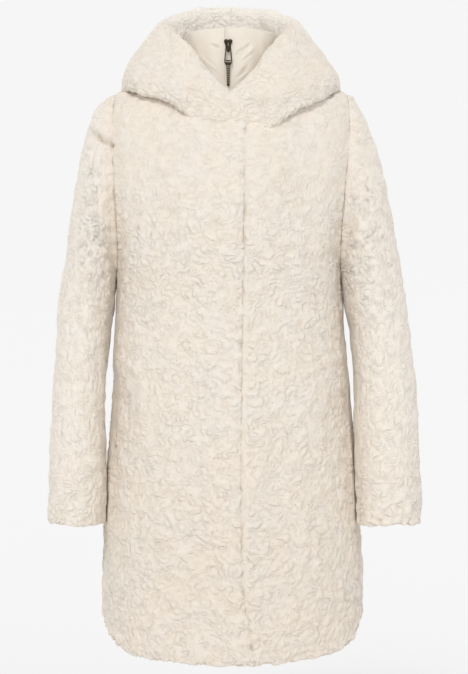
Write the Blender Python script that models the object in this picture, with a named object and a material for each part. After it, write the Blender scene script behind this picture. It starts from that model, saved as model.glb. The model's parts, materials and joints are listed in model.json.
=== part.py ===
"""Hooded faux fur coat, hollow and worn: two fronts, back, sleeves, hood, stand collar and zip.

The shapes are worked out in millimetres and built in metres. X runs to the wearer's left, the
front faces -Y, +Z is up, and the origin lies in the neck where the wearer carries the coat.
"""

import math

import bmesh
import bpy
import numpy as np
from mathutils import Matrix

MM = 0.001
RIGHT, LEFT = -1, 1  # the wearer's sides, as signs of X
FRONT, BACK = -1, 1  # as signs of Y

# Cloth and seams
FLEECE_WALL = 8.0  # backing and curled pile together
HOOD_WALL = 5.0
COLLAR_WALL = 2.5
COLLAR_CLEAR = 0.8  # between the collar's sewn edge and the trunk's
TAPE_WALL = 1.8
TAPE_DEPTH = 9.0  # behind the fronts' outside
SEAM_GAP = 0.3

# Front closing
ZIP_X = -4.0
TAPE_HALF = 6.0
LAP_LIFT = 9.0  # how far the lap stands out over the front below it
LAP_START = 62.0  # where its slope begins, this far to the wearer's right
LAP_FULL = 26.0  # and where it is at full height
LAP_TOP_DROP = 4.5  # the lap's top edge ends below the hood

# Armholes and neck
SHOULDER_Z = -23.0
UNDERARM_Z = -285.0
ARMHOLE_DEPTH = 66.0  # half the armhole's width from front to back
NECK_HALF = 88.0
NECK_SIDE_Z = 12.0
NECK_FRONT_Z = -58.0
NECK_BACK_Z = 6.0

# Hem: how far it rises from the centres (angle 0) to the side seams (angle 90), mirrored past both
HEM_Z = -863.0
HEM_COLUMNS = ("angle", "rise")
HEM_RISE = (
    (-31, 5),
    (0, 0),
    (31, 5),
    (49, 11),
    (60, 20),
    (68, 31),
    (75, 45),
    (82, 57),
    (90, 62),
    (98, 58),
)

# How finely the panels are divided
SIDE_ROWS = 12
ARMHOLE_ROWS = 9
CHEST_DROP = 62.0  # the row that meets the underarm dips this far at the middle
NECK_COLUMNS = 7
BACK_NECK_COLUMNS = 8
SHOULDER_COLUMNS = 5
ROW_CROWD = 1.3  # the rows above the underarm crowd together towards the shoulder
LAP_COLUMNS = 2

# Trunk: half widths, depths from the side seams and squareness at each height
TRUNK_COLUMNS = ("z", "right", "left", "front", "back", "square")
TRUNK = (
    (-900, 195, 200, 150, 140, 2.15),
    (-790, 195, 200, 150, 140, 2.15),
    (-700, 194, 198, 149, 138, 2.15),
    (-620, 190, 192, 147, 134, 2.15),
    (-547, 184, 185, 144, 130, 2.15),
    (-474, 180, 180, 141, 127, 2.2),
    (-400, 176, 173, 139, 124, 2.25),
    (-327, 170, 165, 138, 122, 2.4),
    (-285, 169, 163, 138, 122, 2.5),
    (-240, 174, 169, 138, 123, 2.6),
    (-200, 181, 176, 137, 124, 2.6),
    (-150, 187, 183, 133, 125, 2.6),
    (-100, 191, 190, 124, 122, 2.5),
    (-60, 187, 188, 111, 115, 2.4),
    (-38, 182, 183, 103, 107, 2.3),
    (-23, 174, 174, 97, 100, 2.2),
    (-7, 140, 140, 90, 93, 2.2),
    (2, 113, 113, 85, 87, 2.2),
    (12, 88, 88, 78, 80, 2.2),
    (24, 74, 74, 70, 72, 2.2),
)

# Free edge of the lap: how far it reaches over to the wearer's left
LAP_COLUMN_NAMES = ("z", "x")
LAP_EDGE = (
    (-900, 36),
    (-850, 33),
    (-800, 26),
    (-770, 19),
    (-700, 17),
    (-400, 17),
    (-200, 20),
    (-50, 22),
)

# Soft folds of the fronts and back: centre line, ends, half width, height off the cloth
FOLD_COLUMNS = ("face", "x_top", "z_top", "x_low", "z_low", "half_width", "height")
FOLDS = (
    (FRONT, -26, -660, -32, -835, 17, -5.0),  # hollow below the lap's fold
    (FRONT, 92, -600, 104, -840, 26, 4.0),
    (FRONT, 58, -560, 60, -820, 16, -3.0),
    (FRONT, -104, -560, -112, -830, 24, 4.0),
    (FRONT, -135, -90, -112, -230, 18, -3.0),  # drag from the armhole
    (FRONT, 132, -90, 110, -230, 18, -3.0),
    (BACK, 0, -250, 0, -820, 30, -4.0),
    (BACK, -95, -330, -112, -840, 28, 5.0),
    (BACK, 95, -300, 108, -840, 28, 5.0),
    (BACK, -55, -520, -62, -830, 16, -3.5),
    (BACK, 58, -480, 60, -830, 16, -3.5),
    (BACK, -120, -110, -90, -260, 20, -4.0),
    (BACK, 120, -110, 90, -260, 20, -4.0),
)

# Rounded ridge that the hidden pocket bag presses into each front
POCKET_COLUMNS = ("x", "z", "half_width", "half_height", "ridge", "height", "hollow")
POCKETS = (
    (-174, -492, 46, 82, 11, 5.0, -3.0),
    (174, -488, 48, 80, 11, 4.5, -3.0),
)

# Sleeves: where the upper (outer) and lower (inner) lines run, seen from the front, and the depth
SLEEVE_COLUMNS = ("outer_x", "outer_z", "inner_x", "inner_z", "depth", "middle_y")
SLEEVES = {
    RIGHT: (
        (186, -20, 171, -287, 71, 0),
        (198, -29, 173, -291, 75, -1),
        (210, -48, 175, -297, 77, -2),
        (220, -78, 176, -305, 78, -4),
        (229, -115, 177, -316, 77, -7),
        (236, -160, 178, -330, 75, -10),
        (244, -218, 180, -350, 72, -15),
        (254, -285, 183, -380, 69, -21),
        (262, -352, 186, -420, 66, -28),
        (268, -425, 188, -470, 63, -36),
        (272, -500, 188, -528, 60, -44),
        (273, -566, 188, -582, 57, -50),
        (273, -626, 188, -630, 55, -55),
        (272, -661, 189, -662, 54, -58),
    ),
    LEFT: (
        (183, -22, 165, -287, 71, 0),
        (194, -34, 166, -291, 75, -1),
        (204, -56, 168, -297, 77, -2),
        (215, -80, 169, -305, 78, -4),
        (226, -115, 170, -316, 77, -7),
        (236, -160, 172, -330, 76, -10),
        (247, -218, 176, -352, 73, -15),
        (258, -285, 181, -382, 70, -21),
        (268, -352, 184, -420, 67, -28),
        (277, -425, 185, -470, 64, -36),
        (281, -500, 186, -528, 61, -44),
        (283, -566, 187, -582, 58, -50),
        (284, -626, 189, -630, 56, -55),
        (284, -661, 190, -662, 55, -58),
    ),
}

SLEEVE_BOW_ROWS = 6  # rows over which the sleeve loses the armhole's outward bow

# Folds round the sleeves: side, height at the outside, slope down towards the trunk, half width, height,
# and the angle from the outside (towards the front) where each is strongest
SLEEVE_FOLD_COLUMNS = ("side", "z", "slope", "half_width", "height", "angle", "spread")
SLEEVE_FOLDS = (
    (RIGHT, -74, 0.42, 9, -6.0, 75, 55),
    (RIGHT, -300, 0.30, 14, -3.0, 60, 70),
    (RIGHT, -420, -0.25, 13, -3.5, 20, 70),
    (RIGHT, -505, 0.30, 12, -3.5, 10, 80),
    (RIGHT, -250, 0.20, 16, -4.0, 240, 60),
    (RIGHT, -440, 0.30, 14, -4.0, 250, 60),
    (LEFT, -96, 0.30, 10, -2.5, 75, 50),
    (LEFT, -345, 0.28, 13, -3.0, 30, 60),
    (LEFT, -470, -0.20, 11, -4.0, 10, 55),
    (LEFT, -535, 0.15, 10, -4.0, 0, 60),
    (LEFT, -595, -0.20, 10, -3.5, 10, 60),
    (LEFT, -270, 0.20, 16, -4.0, 250, 60),
    (LEFT, -430, 0.30, 14, -4.0, 240, 60),
)

# Hood, worn down: along the neck seam from the front centre (0) to the centre back (1), the fold that
# lies on the shoulders, the outside, the rim, and how wide the rolls at the fold and the rim are
HOOD_COLUMNS = (
    "share",
    "fold_x",
    "fold_y",
    "fold_z",
    "side_x",
    "side_y",
    "side_z",
    "rim_x",
    "rim_y",
    "rim_z",
    "fold_roll",
    "rim_roll",
    "facing",
    "facing_in",
)
HOOD = (
    (0.00, 0, -128, -60, 0, -124, -41, 0, -107, -19, 0.42, 0.85, 15, 1.05),
    (0.10, 25, -129, -61, 26, -127, -36, 15, -106, -6, 0.50, 0.88, 17, 1.00),
    (0.20, 57, -128, -61, 58, -127, -27, 32, -100, 14, 0.75, 0.90, 21, 0.85),
    (0.31, 93, -122, -49, 87, -114, -8, 47, -90, 33, 0.95, 0.95, 26, 0.55),
    (0.41, 121, -104, -31, 112, -88, 8, 62, -73, 56, 1.00, 1.00, 34, 0.60),
    (0.50, 150, -66, -13, 138, -52, 26, 83, -42, 78, 1.10, 1.40, 42, 0.90),
    (0.60, 168, -4, -4, 148, 8, 40, 96, 3, 98, 1.20, 1.90, 50, 1.10),
    (0.72, 160, 86, -42, 144, 86, 24, 88, 55, 112, 1.30, 1.90, 56, 1.15),
    (0.86, 108, 156, -142, 104, 154, -20, 54, 92, 127, 1.40, 1.25, 60, 1.15),
    (1.00, 0, 182, -176, 0, 186, -42, 0, 104, 132, 1.50, 1.25, 62, 1.15),
)
HOOD_SET_COLUMNS = ("share", "right", "left", "right_out")
HOOD_SET = (  # how far the fold is raised on each side, and the wearer's right side pushed outward
    (0.00, 0, 0, 0),
    (0.10, 7, -2, 0),
    (0.20, 15, -4, 0),
    (0.31, 16, 0, 1),
    (0.41, 15, 3, 2),
    (0.50, 8, 3, 5),
    (0.60, 3, 2, 6),
    (0.66, 2, 2, 5),
    (0.72, 0, 0, 5),
    (0.86, 0, 0, 2),
    (1.00, 0, 0, 0),
)
FOLD_ROLL = 12.0  # at a roll of 1
RIM_ROLL = 10.0
HOOD_CLEAR = 7.0  # between the hood's underside and the shoulders
HOOD_FRONT_WALL = 2.4  # at the front, where the folded layers lie closest
HOOD_SPANS = (3, 2, 2, 2, 2, 3, 2, 2, 2)  # divisions between the profile's turning points

# Stand collar: its top edge, and how its height and its draw-in run from the neck seam to that edge
COLLAR_TOP = {"half_width": 71, "front": 81, "back": 72, "front_z": 77, "side_z": 75, "back_z": 68}
COLLAR_ROWS = ((0.0, 0.0), (0.12, 0.30), (0.30, 0.60), (0.52, 0.82), (0.76, 0.94), (1.0, 1.0))
COLLAR_COLUMNS_ROUND = 15  # divisions from each front edge to the centre back

# Zip
SLIDER_Z = 50.5  # middle of the slider
SLIDER_WIDTH = 12.0
SLIDER_HEIGHT = 17.0
SLIDER_THICK = 3.4
BAIL_WIDTH = 3.6
BAIL_HEIGHT = 9.0
BAIL_DEPTH = 6.2  # how far it stands out from the slider
BAIL_WINDOW = 3.2
BAIL_ARM = 1.5
BAIL_DROP = -6.0  # the bail's middle, below the slider's
PULL_BAR = 1.8  # square bar that turns in the bail
PULL_ARM = 2.0
PULL_TOP_HALF = 4.4
PULL_WIDE_HALF = 6.0
PULL_FRAME = 18.0  # length of the open frame
PULL_BAND = 5.0
PULL_TAIL = 33.0
PULL_TILT = 4.5  # it lies along the sloping collar
TAIL_TOP_RADIUS = 2.9
TAIL_END_RADIUS = 1.8

FLEECE = (0.80, 0.735, 0.65)
CLOTH = (0.79, 0.72, 0.63)
METAL = (0.10, 0.08, 0.055)


def ease(share):
    share = np.clip(share, 0, 1)
    return share * share * (3 - 2 * share)


def column(names, rows, name):
    return np.array([row[names.index(name)] for row in rows], float)


def smooth(knots, values, at):
    """A curve through the values at the knots, straight beyond their ends' tangents."""
    at = np.clip(np.asarray(at, float), knots[0], knots[-1])
    slopes = np.gradient(values, knots)
    low = np.clip(np.searchsorted(knots, at, side="right") - 1, 0, len(knots) - 2)
    span = knots[low + 1] - knots[low]
    share = (at - knots[low]) / span
    return (
        (2 * share**3 - 3 * share**2 + 1) * values[low]
        + (share**3 - 2 * share**2 + share) * span * slopes[low]
        + (3 * share**2 - 2 * share**3) * values[low + 1]
        + (share**3 - share**2) * span * slopes[low + 1]
    )


def from_table(names, rows, name, key, at):
    return smooth(column(names, rows, key), column(names, rows, name), at)


def trunk_size(name, z):
    return from_table(TRUNK_COLUMNS, TRUNK, name, "z", z)


def half_width(angle, z):
    return np.where(np.asarray(angle) < 0, trunk_size("right", z), trunk_size("left", z))


def trunk_point(angle, z, face):
    """Outside of the trunk: angle -90 at the wearer's right side, 0 at the centre, 90 at the left."""
    across = np.sin(np.radians(angle))
    square = trunk_size("square", z)
    depth = trunk_size("front", z) if face == FRONT else trunk_size("back", z)
    y = face * depth * (1 - np.minimum(np.abs(across), 1) ** square) ** (1 / square)
    return np.stack([half_width(angle, z) * across, y, z + 0 * y], -1)


def angle_at(x, z):
    reach = np.where(np.asarray(x) < 0, trunk_size("right", z), trunk_size("left", z))
    return np.degrees(np.arcsin(np.clip(x / reach, -1, 1)))


def evenly(curve, count, face):
    """Points of a curve of (angle, z) at even distances along the cloth."""
    space = trunk_point(curve[:, 0], curve[:, 1], face)
    run = np.concatenate([[0], np.cumsum(np.linalg.norm(np.diff(space, axis=0), axis=1))])
    at = np.linspace(0, run[-1], count + 1)
    return np.stack([np.interp(at, run, curve[:, k]) for k in (0, 1)], -1)


def neckline(side, face):
    """From the centre to the neck point, as (angle, z)."""
    turn = np.radians(np.linspace(0, 90, 91))
    middle_z = NECK_FRONT_Z if face == FRONT else NECK_BACK_Z
    z = middle_z + (NECK_SIDE_Z - middle_z) * (1 - np.cos(turn))
    x = NECK_HALF * np.sin(turn)
    angle = np.where(turn >= np.radians(90), 90, angle_at(x, z))
    columns = NECK_COLUMNS if face == FRONT else BACK_NECK_COLUMNS
    return evenly(np.stack([side * angle, z], -1), columns, face)


def shoulder_seam(side, face):
    z = np.linspace(NECK_SIDE_Z, SHOULDER_Z, 40)
    return evenly(np.stack([np.full(40, side * 90.0), z], -1), SHOULDER_COLUMNS, face)


def armhole_turn():
    """Angles round half of an armhole from the shoulder point, closer together there."""
    return np.radians(180 * np.linspace(0, 1, ARMHOLE_ROWS + 1) ** ROW_CROWD)


def armhole(side, face):
    """From the underarm up to the shoulder point, as (angle, z)."""
    turn = armhole_turn()[::-1]
    z = (SHOULDER_Z + UNDERARM_Z) / 2 + (SHOULDER_Z - UNDERARM_Z) / 2 * np.cos(turn)
    depth = trunk_size("front", z) if face == FRONT else trunk_size("back", z)
    square = trunk_size("square", z)
    share = (ARMHOLE_DEPTH * np.sin(turn) / depth) ** square
    return np.stack([side * np.degrees(np.arcsin((1 - share) ** (1 / square))), z], -1)


def trunk_reach(points):
    """Below 0 inside the trunk and above 0 outside it."""
    x, y, z = points[..., 0], points[..., 1], points[..., 2]
    square = trunk_size("square", z)
    wide = np.where(x < 0, trunk_size("right", z), trunk_size("left", z))
    deep = np.where(y < 0, trunk_size("front", z), trunk_size("back", z))
    return (np.abs(x / wide) ** square + np.abs(y / deep) ** square) ** (1 / square) - 1


def trunk_slope(points):
    """How fast the trunk's reach grows along each axis."""
    ways = np.eye(3) * 0.5
    return np.stack([trunk_reach(points + way) - trunk_reach(points - way) for way in ways], -1)


def hem_z(angle):
    return HEM_Z + from_table(HEM_COLUMNS, HEM_RISE, "rise", "angle", np.abs(angle))


def fill_patch(low, top, inner, outer, up):
    """Grid between four edges, blended from all of them; up holds each row's share of the height."""
    across = np.linspace(0, 1, len(low))[None, :, None]
    up = up[:, None, None]
    ruled = (1 - up) * low[None] + up * top[None] + (1 - across) * inner[:, None] + across * outer[:, None]
    corners = (1 - across) * ((1 - up) * low[0] + up * top[0]) + across * ((1 - up) * low[-1] + up * top[-1])
    return ruled - corners


def trunk_patch(side, face, top, middle_x):
    """Outside points of half the trunk, from its middle edge to the side seam and the armhole.

    top runs along the neckline and the shoulder seam as (angle, z); middle_x gives the middle edge.
    """
    count = len(top)
    low_middle = np.array([float(angle_at(middle_x(HEM_Z), HEM_Z)), HEM_Z])
    low_angle = np.linspace(low_middle[0], side * 90, count)
    low = np.stack([low_angle, hem_z(low_angle)], -1)
    up = np.linspace(0, 1, SIDE_ROWS + 1)
    chest_z = UNDERARM_Z - CHEST_DROP
    middle_z = low[0, 1] + (chest_z - low[0, 1]) * up
    inner = np.stack([angle_at(middle_x(middle_z), middle_z), middle_z], -1)
    seam_z = low[-1, 1] + (UNDERARM_Z - low[-1, 1]) * up
    outer = np.stack([np.full(len(up), side * 90.0), seam_z], -1)
    chest_angle = np.linspace(inner[-1, 0], side * 90, count)
    dip = np.sin(np.pi / 2 * np.abs(chest_angle) / 90) ** 2
    chest = np.stack([chest_angle, chest_z + CHEST_DROP * dip], -1)
    chest[0], chest[-1] = inner[-1], outer[-1]
    lower = fill_patch(low, chest, inner, outer, up)
    lower = trunk_point(lower[..., 0], lower[..., 1], face)

    up = (1 - np.linspace(0, 1, ARMHOLE_ROWS + 1) ** ROW_CROWD)[::-1]
    top_space = trunk_point(top[:, 0], top[:, 1], face)
    middle_z = chest[0, 1] + (top[0, 1] - chest[0, 1]) * up
    inner = np.stack([middle_x(middle_z), middle_z], -1)
    inner[-1] = top_space[0, [0, 2]]
    inner[0] = lower[-1, 0, [0, 2]]
    hole = trunk_point(*armhole(side, face).T, face)
    upper = fill_patch(lower[-1][:, [0, 2]], top_space[:, [0, 2]], inner, hole[:, [0, 2]], up)
    x, z = upper[..., 0], upper[..., 1]
    upper = trunk_point(angle_at(x, z), z, face)
    upper[-1], upper[:, -1], upper[0] = top_space, hole, lower[-1]
    return np.concatenate([lower, upper[1:]])


def fold_height(x, z, face):
    total = np.zeros_like(x)
    for row in FOLDS:
        fold = dict(zip(FOLD_COLUMNS, row))
        if fold["face"] != face:
            continue
        along = (fold["z_top"] - z) / (fold["z_top"] - fold["z_low"])
        middle = fold["x_top"] + (fold["x_low"] - fold["x_top"]) * along
        fade = ease((along + 0.25) / 0.5) * ease((1.25 - along) / 0.5)
        total += fold["height"] * fade * np.exp(-(((x - middle) / fold["half_width"]) ** 2))
    return total


def pocket_height(x, z):
    total = np.zeros_like(x)
    for row in POCKETS:
        bag = dict(zip(POCKET_COLUMNS, row))
        away = np.hypot((x - bag["x"]) / bag["half_width"], (z - bag["z"]) / bag["half_height"])
        off = (away - 1) * bag["half_width"]
        upper = ease((z - bag["z"]) / 70 + 0.7)
        total += bag["height"] * upper * np.exp(-((off / bag["ridge"]) ** 2))
        total += bag["hollow"] * ease((0.8 - away) / 0.4)
    return total


def panel_fade(points):
    """0 at the seams and 1 a little way in, so that neighbours keep the same edge; the hem is free."""
    rows, columns = points.shape[:2]
    from_side = np.minimum(np.arange(columns), np.arange(columns)[::-1])
    from_top = np.arange(rows)[::-1]
    return ease(from_top / 3)[:, None] * ease(from_side / 3)[None, :]


def trunk_normals(points):
    slope = trunk_slope(points)
    return slope / np.linalg.norm(slope, axis=-1, keepdims=True)


def normals(points, closed=False):
    """Unit normals of a grid of points, turned by the grid's own order."""
    up = np.gradient(points, axis=0)
    if closed:
        across = np.roll(points, -1, axis=1) - np.roll(points, 1, axis=1)
    else:
        across = np.gradient(points, axis=1)
    normal = np.cross(across, up)
    return normal / np.maximum(np.linalg.norm(normal, axis=-1, keepdims=True), 1e-9)


class Piece:
    """A grid of outside points and the direction in which its wall grows from the outside."""

    def __init__(self, points, wall, closed=False, flip=1, own=None):
        self.points = points
        self.wall = wall
        self.closed = closed
        self.own = flip * normals(points, closed) if own is None else own
        self.lean = self.own.copy()
        self.shift = np.zeros_like(points)

    def edge_cells(self):
        rows, columns = self.points.shape[:2]
        for row in range(rows):
            for col in range(columns):
                if row in (0, rows - 1) or (not self.closed and col in (0, columns - 1)):
                    yield row, col

    def inward(self, row, col):
        """Direction along the cloth from an edge point into the piece."""
        rows, columns = self.points.shape[:2]
        total = np.zeros(3)
        steps = []
        if row == 0:
            steps.append((1, col))
        if row == rows - 1:
            steps.append((rows - 2, col))
        if not self.closed and col == 0:
            steps.append((row, 1))
        if not self.closed and col == columns - 1:
            steps.append((row, columns - 2))
        for other in steps:
            way = self.points[other] - self.points[row, col]
            total += way / max(np.linalg.norm(way), 1e-9)
        return total


def share_seams(pieces):
    """Parts the pieces by the seam gap where their edges meet, with one wall direction for both."""
    meeting = {}
    for piece in pieces:
        for cell in piece.edge_cells():
            key = tuple(np.round(piece.points[cell], 1) + 0.0)
            meeting.setdefault(key, []).append((piece, cell))
    for group in meeting.values():
        if len({id(piece) for piece, _ in group}) < 2:
            continue
        for piece, cell in group:
            others = [p.own[c] for p, c in group if p is not piece]
            other = np.mean(others, axis=0)
            agree = float(ease((np.dot(piece.own[cell], other) + 0.1) / 0.6))
            lean = piece.own[cell] + agree * other
            piece.lean[cell] = lean / np.linalg.norm(lean)
            piece.shift[cell] = SEAM_GAP / 2 * piece.inward(*cell)
            piece.shift[cell] -= SEAM_GAP * 0.6 * (1 - agree) * piece.own[cell]


def wall_mesh(name, outer, inner, closed):
    """A closed wall between two grids: its outside, its inside and its edges."""
    rows, columns = outer.shape[:2]
    mesh = bpy.data.meshes.new(name)
    shape = bmesh.new()
    skins = []
    for grid in (outer, inner):
        skins.append([[shape.verts.new(point * MM) for point in line] for line in grid])
    last = columns if closed else columns - 1
    for row in range(rows - 1):
        for col in range(last):
            right = (col + 1) % columns
            for skin, turn in ((skins[0], 1), (skins[1], -1)):
                corners = [skin[row][col], skin[row][right], skin[row + 1][right], skin[row + 1][col]]
                shape.faces.new(corners[::turn])
    for row in (0, rows - 1):
        for col in range(last):
            right = (col + 1) % columns
            rim = [skins[0][row][col], skins[1][row][col], skins[1][row][right], skins[0][row][right]]
            shape.faces.new(rim)
    if not closed:
        for col in (0, columns - 1):
            for row in range(rows - 1):
                rim = [skins[0][row][col], skins[1][row][col], skins[1][row + 1][col], skins[0][row + 1][col]]
                shape.faces.new(rim)
    bmesh.ops.recalc_face_normals(shape, faces=shape.faces)
    if shape.calc_volume(signed=True) < 0:
        bmesh.ops.reverse_faces(shape, faces=shape.faces)
    shape.to_mesh(mesh)
    shape.free()
    mesh.shade_smooth()
    mesh.set_sharp_from_angle(angle=math.radians(50))
    return mesh


def lap_edge_x(z):
    return from_table(LAP_COLUMN_NAMES, LAP_EDGE, "x", "z", z)


def make_front(side):
    """A front from its middle edge to its side seam and armhole."""
    laps = side == RIGHT
    top = [neckline(side, FRONT), shoulder_seam(side, FRONT)[1:]]
    if laps:
        share = np.linspace(1, 0, LAP_COLUMNS + 1)[:-1]
        z = np.full(LAP_COLUMNS, NECK_FRONT_Z - LAP_TOP_DROP)
        top.insert(0, np.stack([angle_at(lap_edge_x(z) * share, z), z], -1))
        top[1][0] = (0, NECK_FRONT_Z - LAP_TOP_DROP)
        middle_x = lap_edge_x
    else:
        start = ZIP_X + TAPE_HALF + SEAM_GAP
        top[0][0] = (float(angle_at(start, NECK_FRONT_Z)), NECK_FRONT_Z)

        def middle_x(z):
            return start + 0 * z

    points = trunk_patch(side, FRONT, np.concatenate(top), middle_x)
    own = trunk_normals(points)
    x, z = points[..., 0], points[..., 2]
    raised = fold_height(x, z, FRONT) + pocket_height(x, z)
    points = points + own * (raised * panel_fade(points))[..., None]
    if laps:
        lift = LAP_LIFT * ease((x + LAP_START) / (LAP_START - LAP_FULL))
        lift[-1] *= 1 - ease(-x[-1] / 8)
        points = points + np.array([0, -1, 0]) * lift[..., None]
    return Piece(points, FLEECE_WALL, own=own)


def make_back():
    """The back, from side seam to side seam."""
    halves = []
    for side in (RIGHT, LEFT):
        top = np.concatenate([neckline(side, BACK), shoulder_seam(side, BACK)[1:]])
        halves.append(trunk_patch(side, BACK, top, lambda z: 0 * z))
    points = np.concatenate([halves[0][:, ::-1], halves[1][:, 1:]], axis=1)
    own = trunk_normals(points)
    raised = fold_height(points[..., 0], points[..., 2], BACK)
    points = points + own * (raised * panel_fade(points))[..., None]
    return Piece(points, FLEECE_WALL, own=own)


def make_sleeve(side):
    """A sleeve: its first ring is the armhole, the others are ovals from its outer to its inner line."""
    front = trunk_point(*armhole(side, FRONT).T, FRONT)[::-1]
    back = trunk_point(*armhole(side, BACK).T, BACK)
    rings = [np.concatenate([front, back[1:-1]])]
    turn = armhole_turn()
    turn = np.concatenate([turn, 2 * math.pi - turn[-2:0:-1]])
    share = (1 - np.cos(turn)) / 2
    under = rings[0][ARMHOLE_ROWS, 0]
    bow = rings[0][:, 0] - (rings[0][0, 0] * (1 - share) + under * share)
    for number, row in enumerate(SLEEVES[side]):
        size = dict(zip(SLEEVE_COLUMNS, row))
        outer = np.array([side * size["outer_x"], 0, size["outer_z"]])
        inner = np.array([side * size["inner_x"], 0, size["inner_z"]])
        centre = (outer + inner) / 2 + np.array([0, size["middle_y"], 0])
        reach = (outer - inner) / 2
        ring = centre + np.cos(turn)[:, None] * reach
        ring = ring - np.sin(turn)[:, None] * np.array([0, size["depth"], 0])
        ring[:, 0] += bow * max(0.0, 1 - number / SLEEVE_BOW_ROWS)
        rings.append(ring)
    points = np.array(rings)
    flip = side
    out = flip * normals(points, closed=True)
    raised = np.zeros(points.shape[:2])
    for row in SLEEVE_FOLDS:
        fold = dict(zip(SLEEVE_FOLD_COLUMNS, row))
        if fold["side"] != side:
            continue
        from_outside = np.abs(side * (points[..., 0]) - side * points[:, :1, 0])
        middle = fold["z"] - fold["slope"] * from_outside
        off = (np.degrees(turn) - fold["angle"] + 180) % 360 - 180
        strong = np.exp(-((off / fold["spread"]) ** 2))[None]
        raised += fold["height"] * strong * np.exp(-(((points[..., 2] - middle) / fold["half_width"]) ** 2))
    raised *= ease(np.arange(len(rings)) / 2)[:, None]
    return Piece(points + out * raised[..., None], FLEECE_WALL, closed=True, flip=flip)


def hood_profile(start, station):
    """Turning points of one section of the hood, from the neck seam to the end of its facing."""
    fold = np.array([station["fold_x"], station["fold_y"], station["fold_z"]])
    side = np.array([station["side_x"], station["side_y"], station["side_z"]])
    rim = np.array([station["rim_x"], station["rim_y"], station["rim_z"]])
    up = np.array([0, 0, 1.0])
    away = (fold - start) * np.array([1, 1, 0])
    away /= max(np.linalg.norm(away), 1e-9)
    to_neck = -rim * np.array([1, 1, 0])
    to_neck /= max(np.linalg.norm(to_neck), 1e-9)
    roll = FOLD_ROLL * station["fold_roll"]
    rim_roll = RIM_ROLL * station["rim_roll"]
    bent = float(ease(station["share"] / 0.2))
    lower = [
        (start + fold) / 2 + up * (2 * (1 - bent) - roll * 0.3 * bent),
        fold - away * roll * 0.9 - up * roll * 0.45,
        fold,
        fold - away * roll * 0.25 + up * roll * 1.3,
    ]
    rim_out = rim - to_neck * rim_roll * 0.95 - up * rim_roll * 0.8
    rim_in = rim + to_neck * rim_roll * 0.85 - up * rim_roll * 0.75
    end = rim + to_neck * rim_roll * station["facing_in"] - up * station["facing"]
    return [start, *lower, side, rim_out, rim, rim_in, end]


def push_out(points, clear):
    """Moves points away from the trunk's outside until they are the clear distance off it."""
    points = points.copy()
    for _ in range(4):
        slope = trunk_slope(points)
        steep = np.maximum(np.linalg.norm(slope, axis=-1), 1e-6)
        short = np.maximum(clear - trunk_reach(points) / steep, 0)
        points += (np.minimum(short, 6) / steep)[..., None] * slope
    return points


def through(turning, spans):
    """Points of a smooth curve through the turning points, with the given divisions of each span."""
    turning = np.array(turning)
    run = np.concatenate([[0], np.cumsum(np.linalg.norm(np.diff(turning, axis=0), axis=1) ** 0.6)])
    at = [0.0]
    for span, count in enumerate(spans):
        at.extend(np.linspace(run[span], run[span + 1], count + 1)[1:])
    return np.stack([smooth(run, turning[:, k], np.array(at)) for k in range(3)], -1)


def hood_station(share):
    """The table's row at any share, its ends continued by their mirror images."""
    rows = np.array(HOOD, float)
    turned = np.array([-1.0 if name.endswith("_x") else 1.0 for name in HOOD_COLUMNS])
    before, after = rows[1] * turned, rows[-2] * turned
    before[0], after[0] = -rows[1, 0], 2 - rows[-2, 0]
    rows = np.vstack([before, rows, after])
    return {name: float(smooth(rows[:, 0], rows[:, k], share)) for k, name in enumerate(HOOD_COLUMNS)}


def make_hood(side):
    """Half of the hood, from the front edge round the neck to the centre back."""
    front = trunk_point(*neckline(side, FRONT).T, FRONT)
    back = trunk_point(*neckline(side, BACK).T, BACK)[::-1]
    seam = np.concatenate([front, back[1:]])
    share = np.concatenate(
        [np.linspace(0, 0.5, NECK_COLUMNS + 1), np.linspace(0.5, 1, BACK_NECK_COLUMNS + 1)[1:]]
    )
    sections = []
    for start, at in zip(seam, share):
        station = hood_station(at)
        for name in ("fold_x", "side_x", "rim_x"):
            station[name] = side * max(station[name], 0.0)
        raised = "left" if side == LEFT else "right"
        station["fold_z"] += float(from_table(HOOD_SET_COLUMNS, HOOD_SET, raised, "share", at))
        if side == RIGHT:
            outward = float(from_table(HOOD_SET_COLUMNS, HOOD_SET, "right_out", "share", at))
            station["side_x"] -= outward
            station["rim_x"] -= outward
        sections.append(through(hood_profile(start, station), HOOD_SPANS))
    points = np.array(sections).transpose(1, 0, 2)
    under = slice(1, sum(HOOD_SPANS[:3]))
    lap = LAP_LIFT * ease((points[under, :, 0] + LAP_START) / (LAP_START - LAP_FULL))
    over_lap = (points[under, :, 0] < lap_edge_x(points[under, :, 2])) & (points[under, :, 1] < 0)
    rise = np.minimum(np.arange(under.stop - 1) / 3 + 0.75, 1)[:, None]
    clear = HOOD_CLEAR * rise + np.where(over_lap, lap, 0)
    moved = push_out(points[under], clear) - points[under]
    moved[1:-1] = (moved[:-2] + 2 * moved[1:-1] + moved[2:]) / 4
    points[under] += moved * ease((share - 0.09) / 0.1)[None, :, None]
    wall = HOOD_FRONT_WALL + (HOOD_WALL - HOOD_FRONT_WALL) * ease((share - 0.1) / 0.35)
    from_fold = np.arange(len(points)) - under.stop
    thin = 1 - 0.45 * np.exp(-((from_fold / 2.5) ** 2))
    hood = Piece(points, (wall[None] * thin[:, None])[..., None], flip=side)
    for col in (0, -1):
        hood.points[:, col, 0] = 0
        hood.own[:, col, 0] = 0
        hood.own[:, col] /= np.linalg.norm(hood.own[:, col], axis=-1, keepdims=True)
    hood.lean = hood.own.copy()
    return hood


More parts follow.
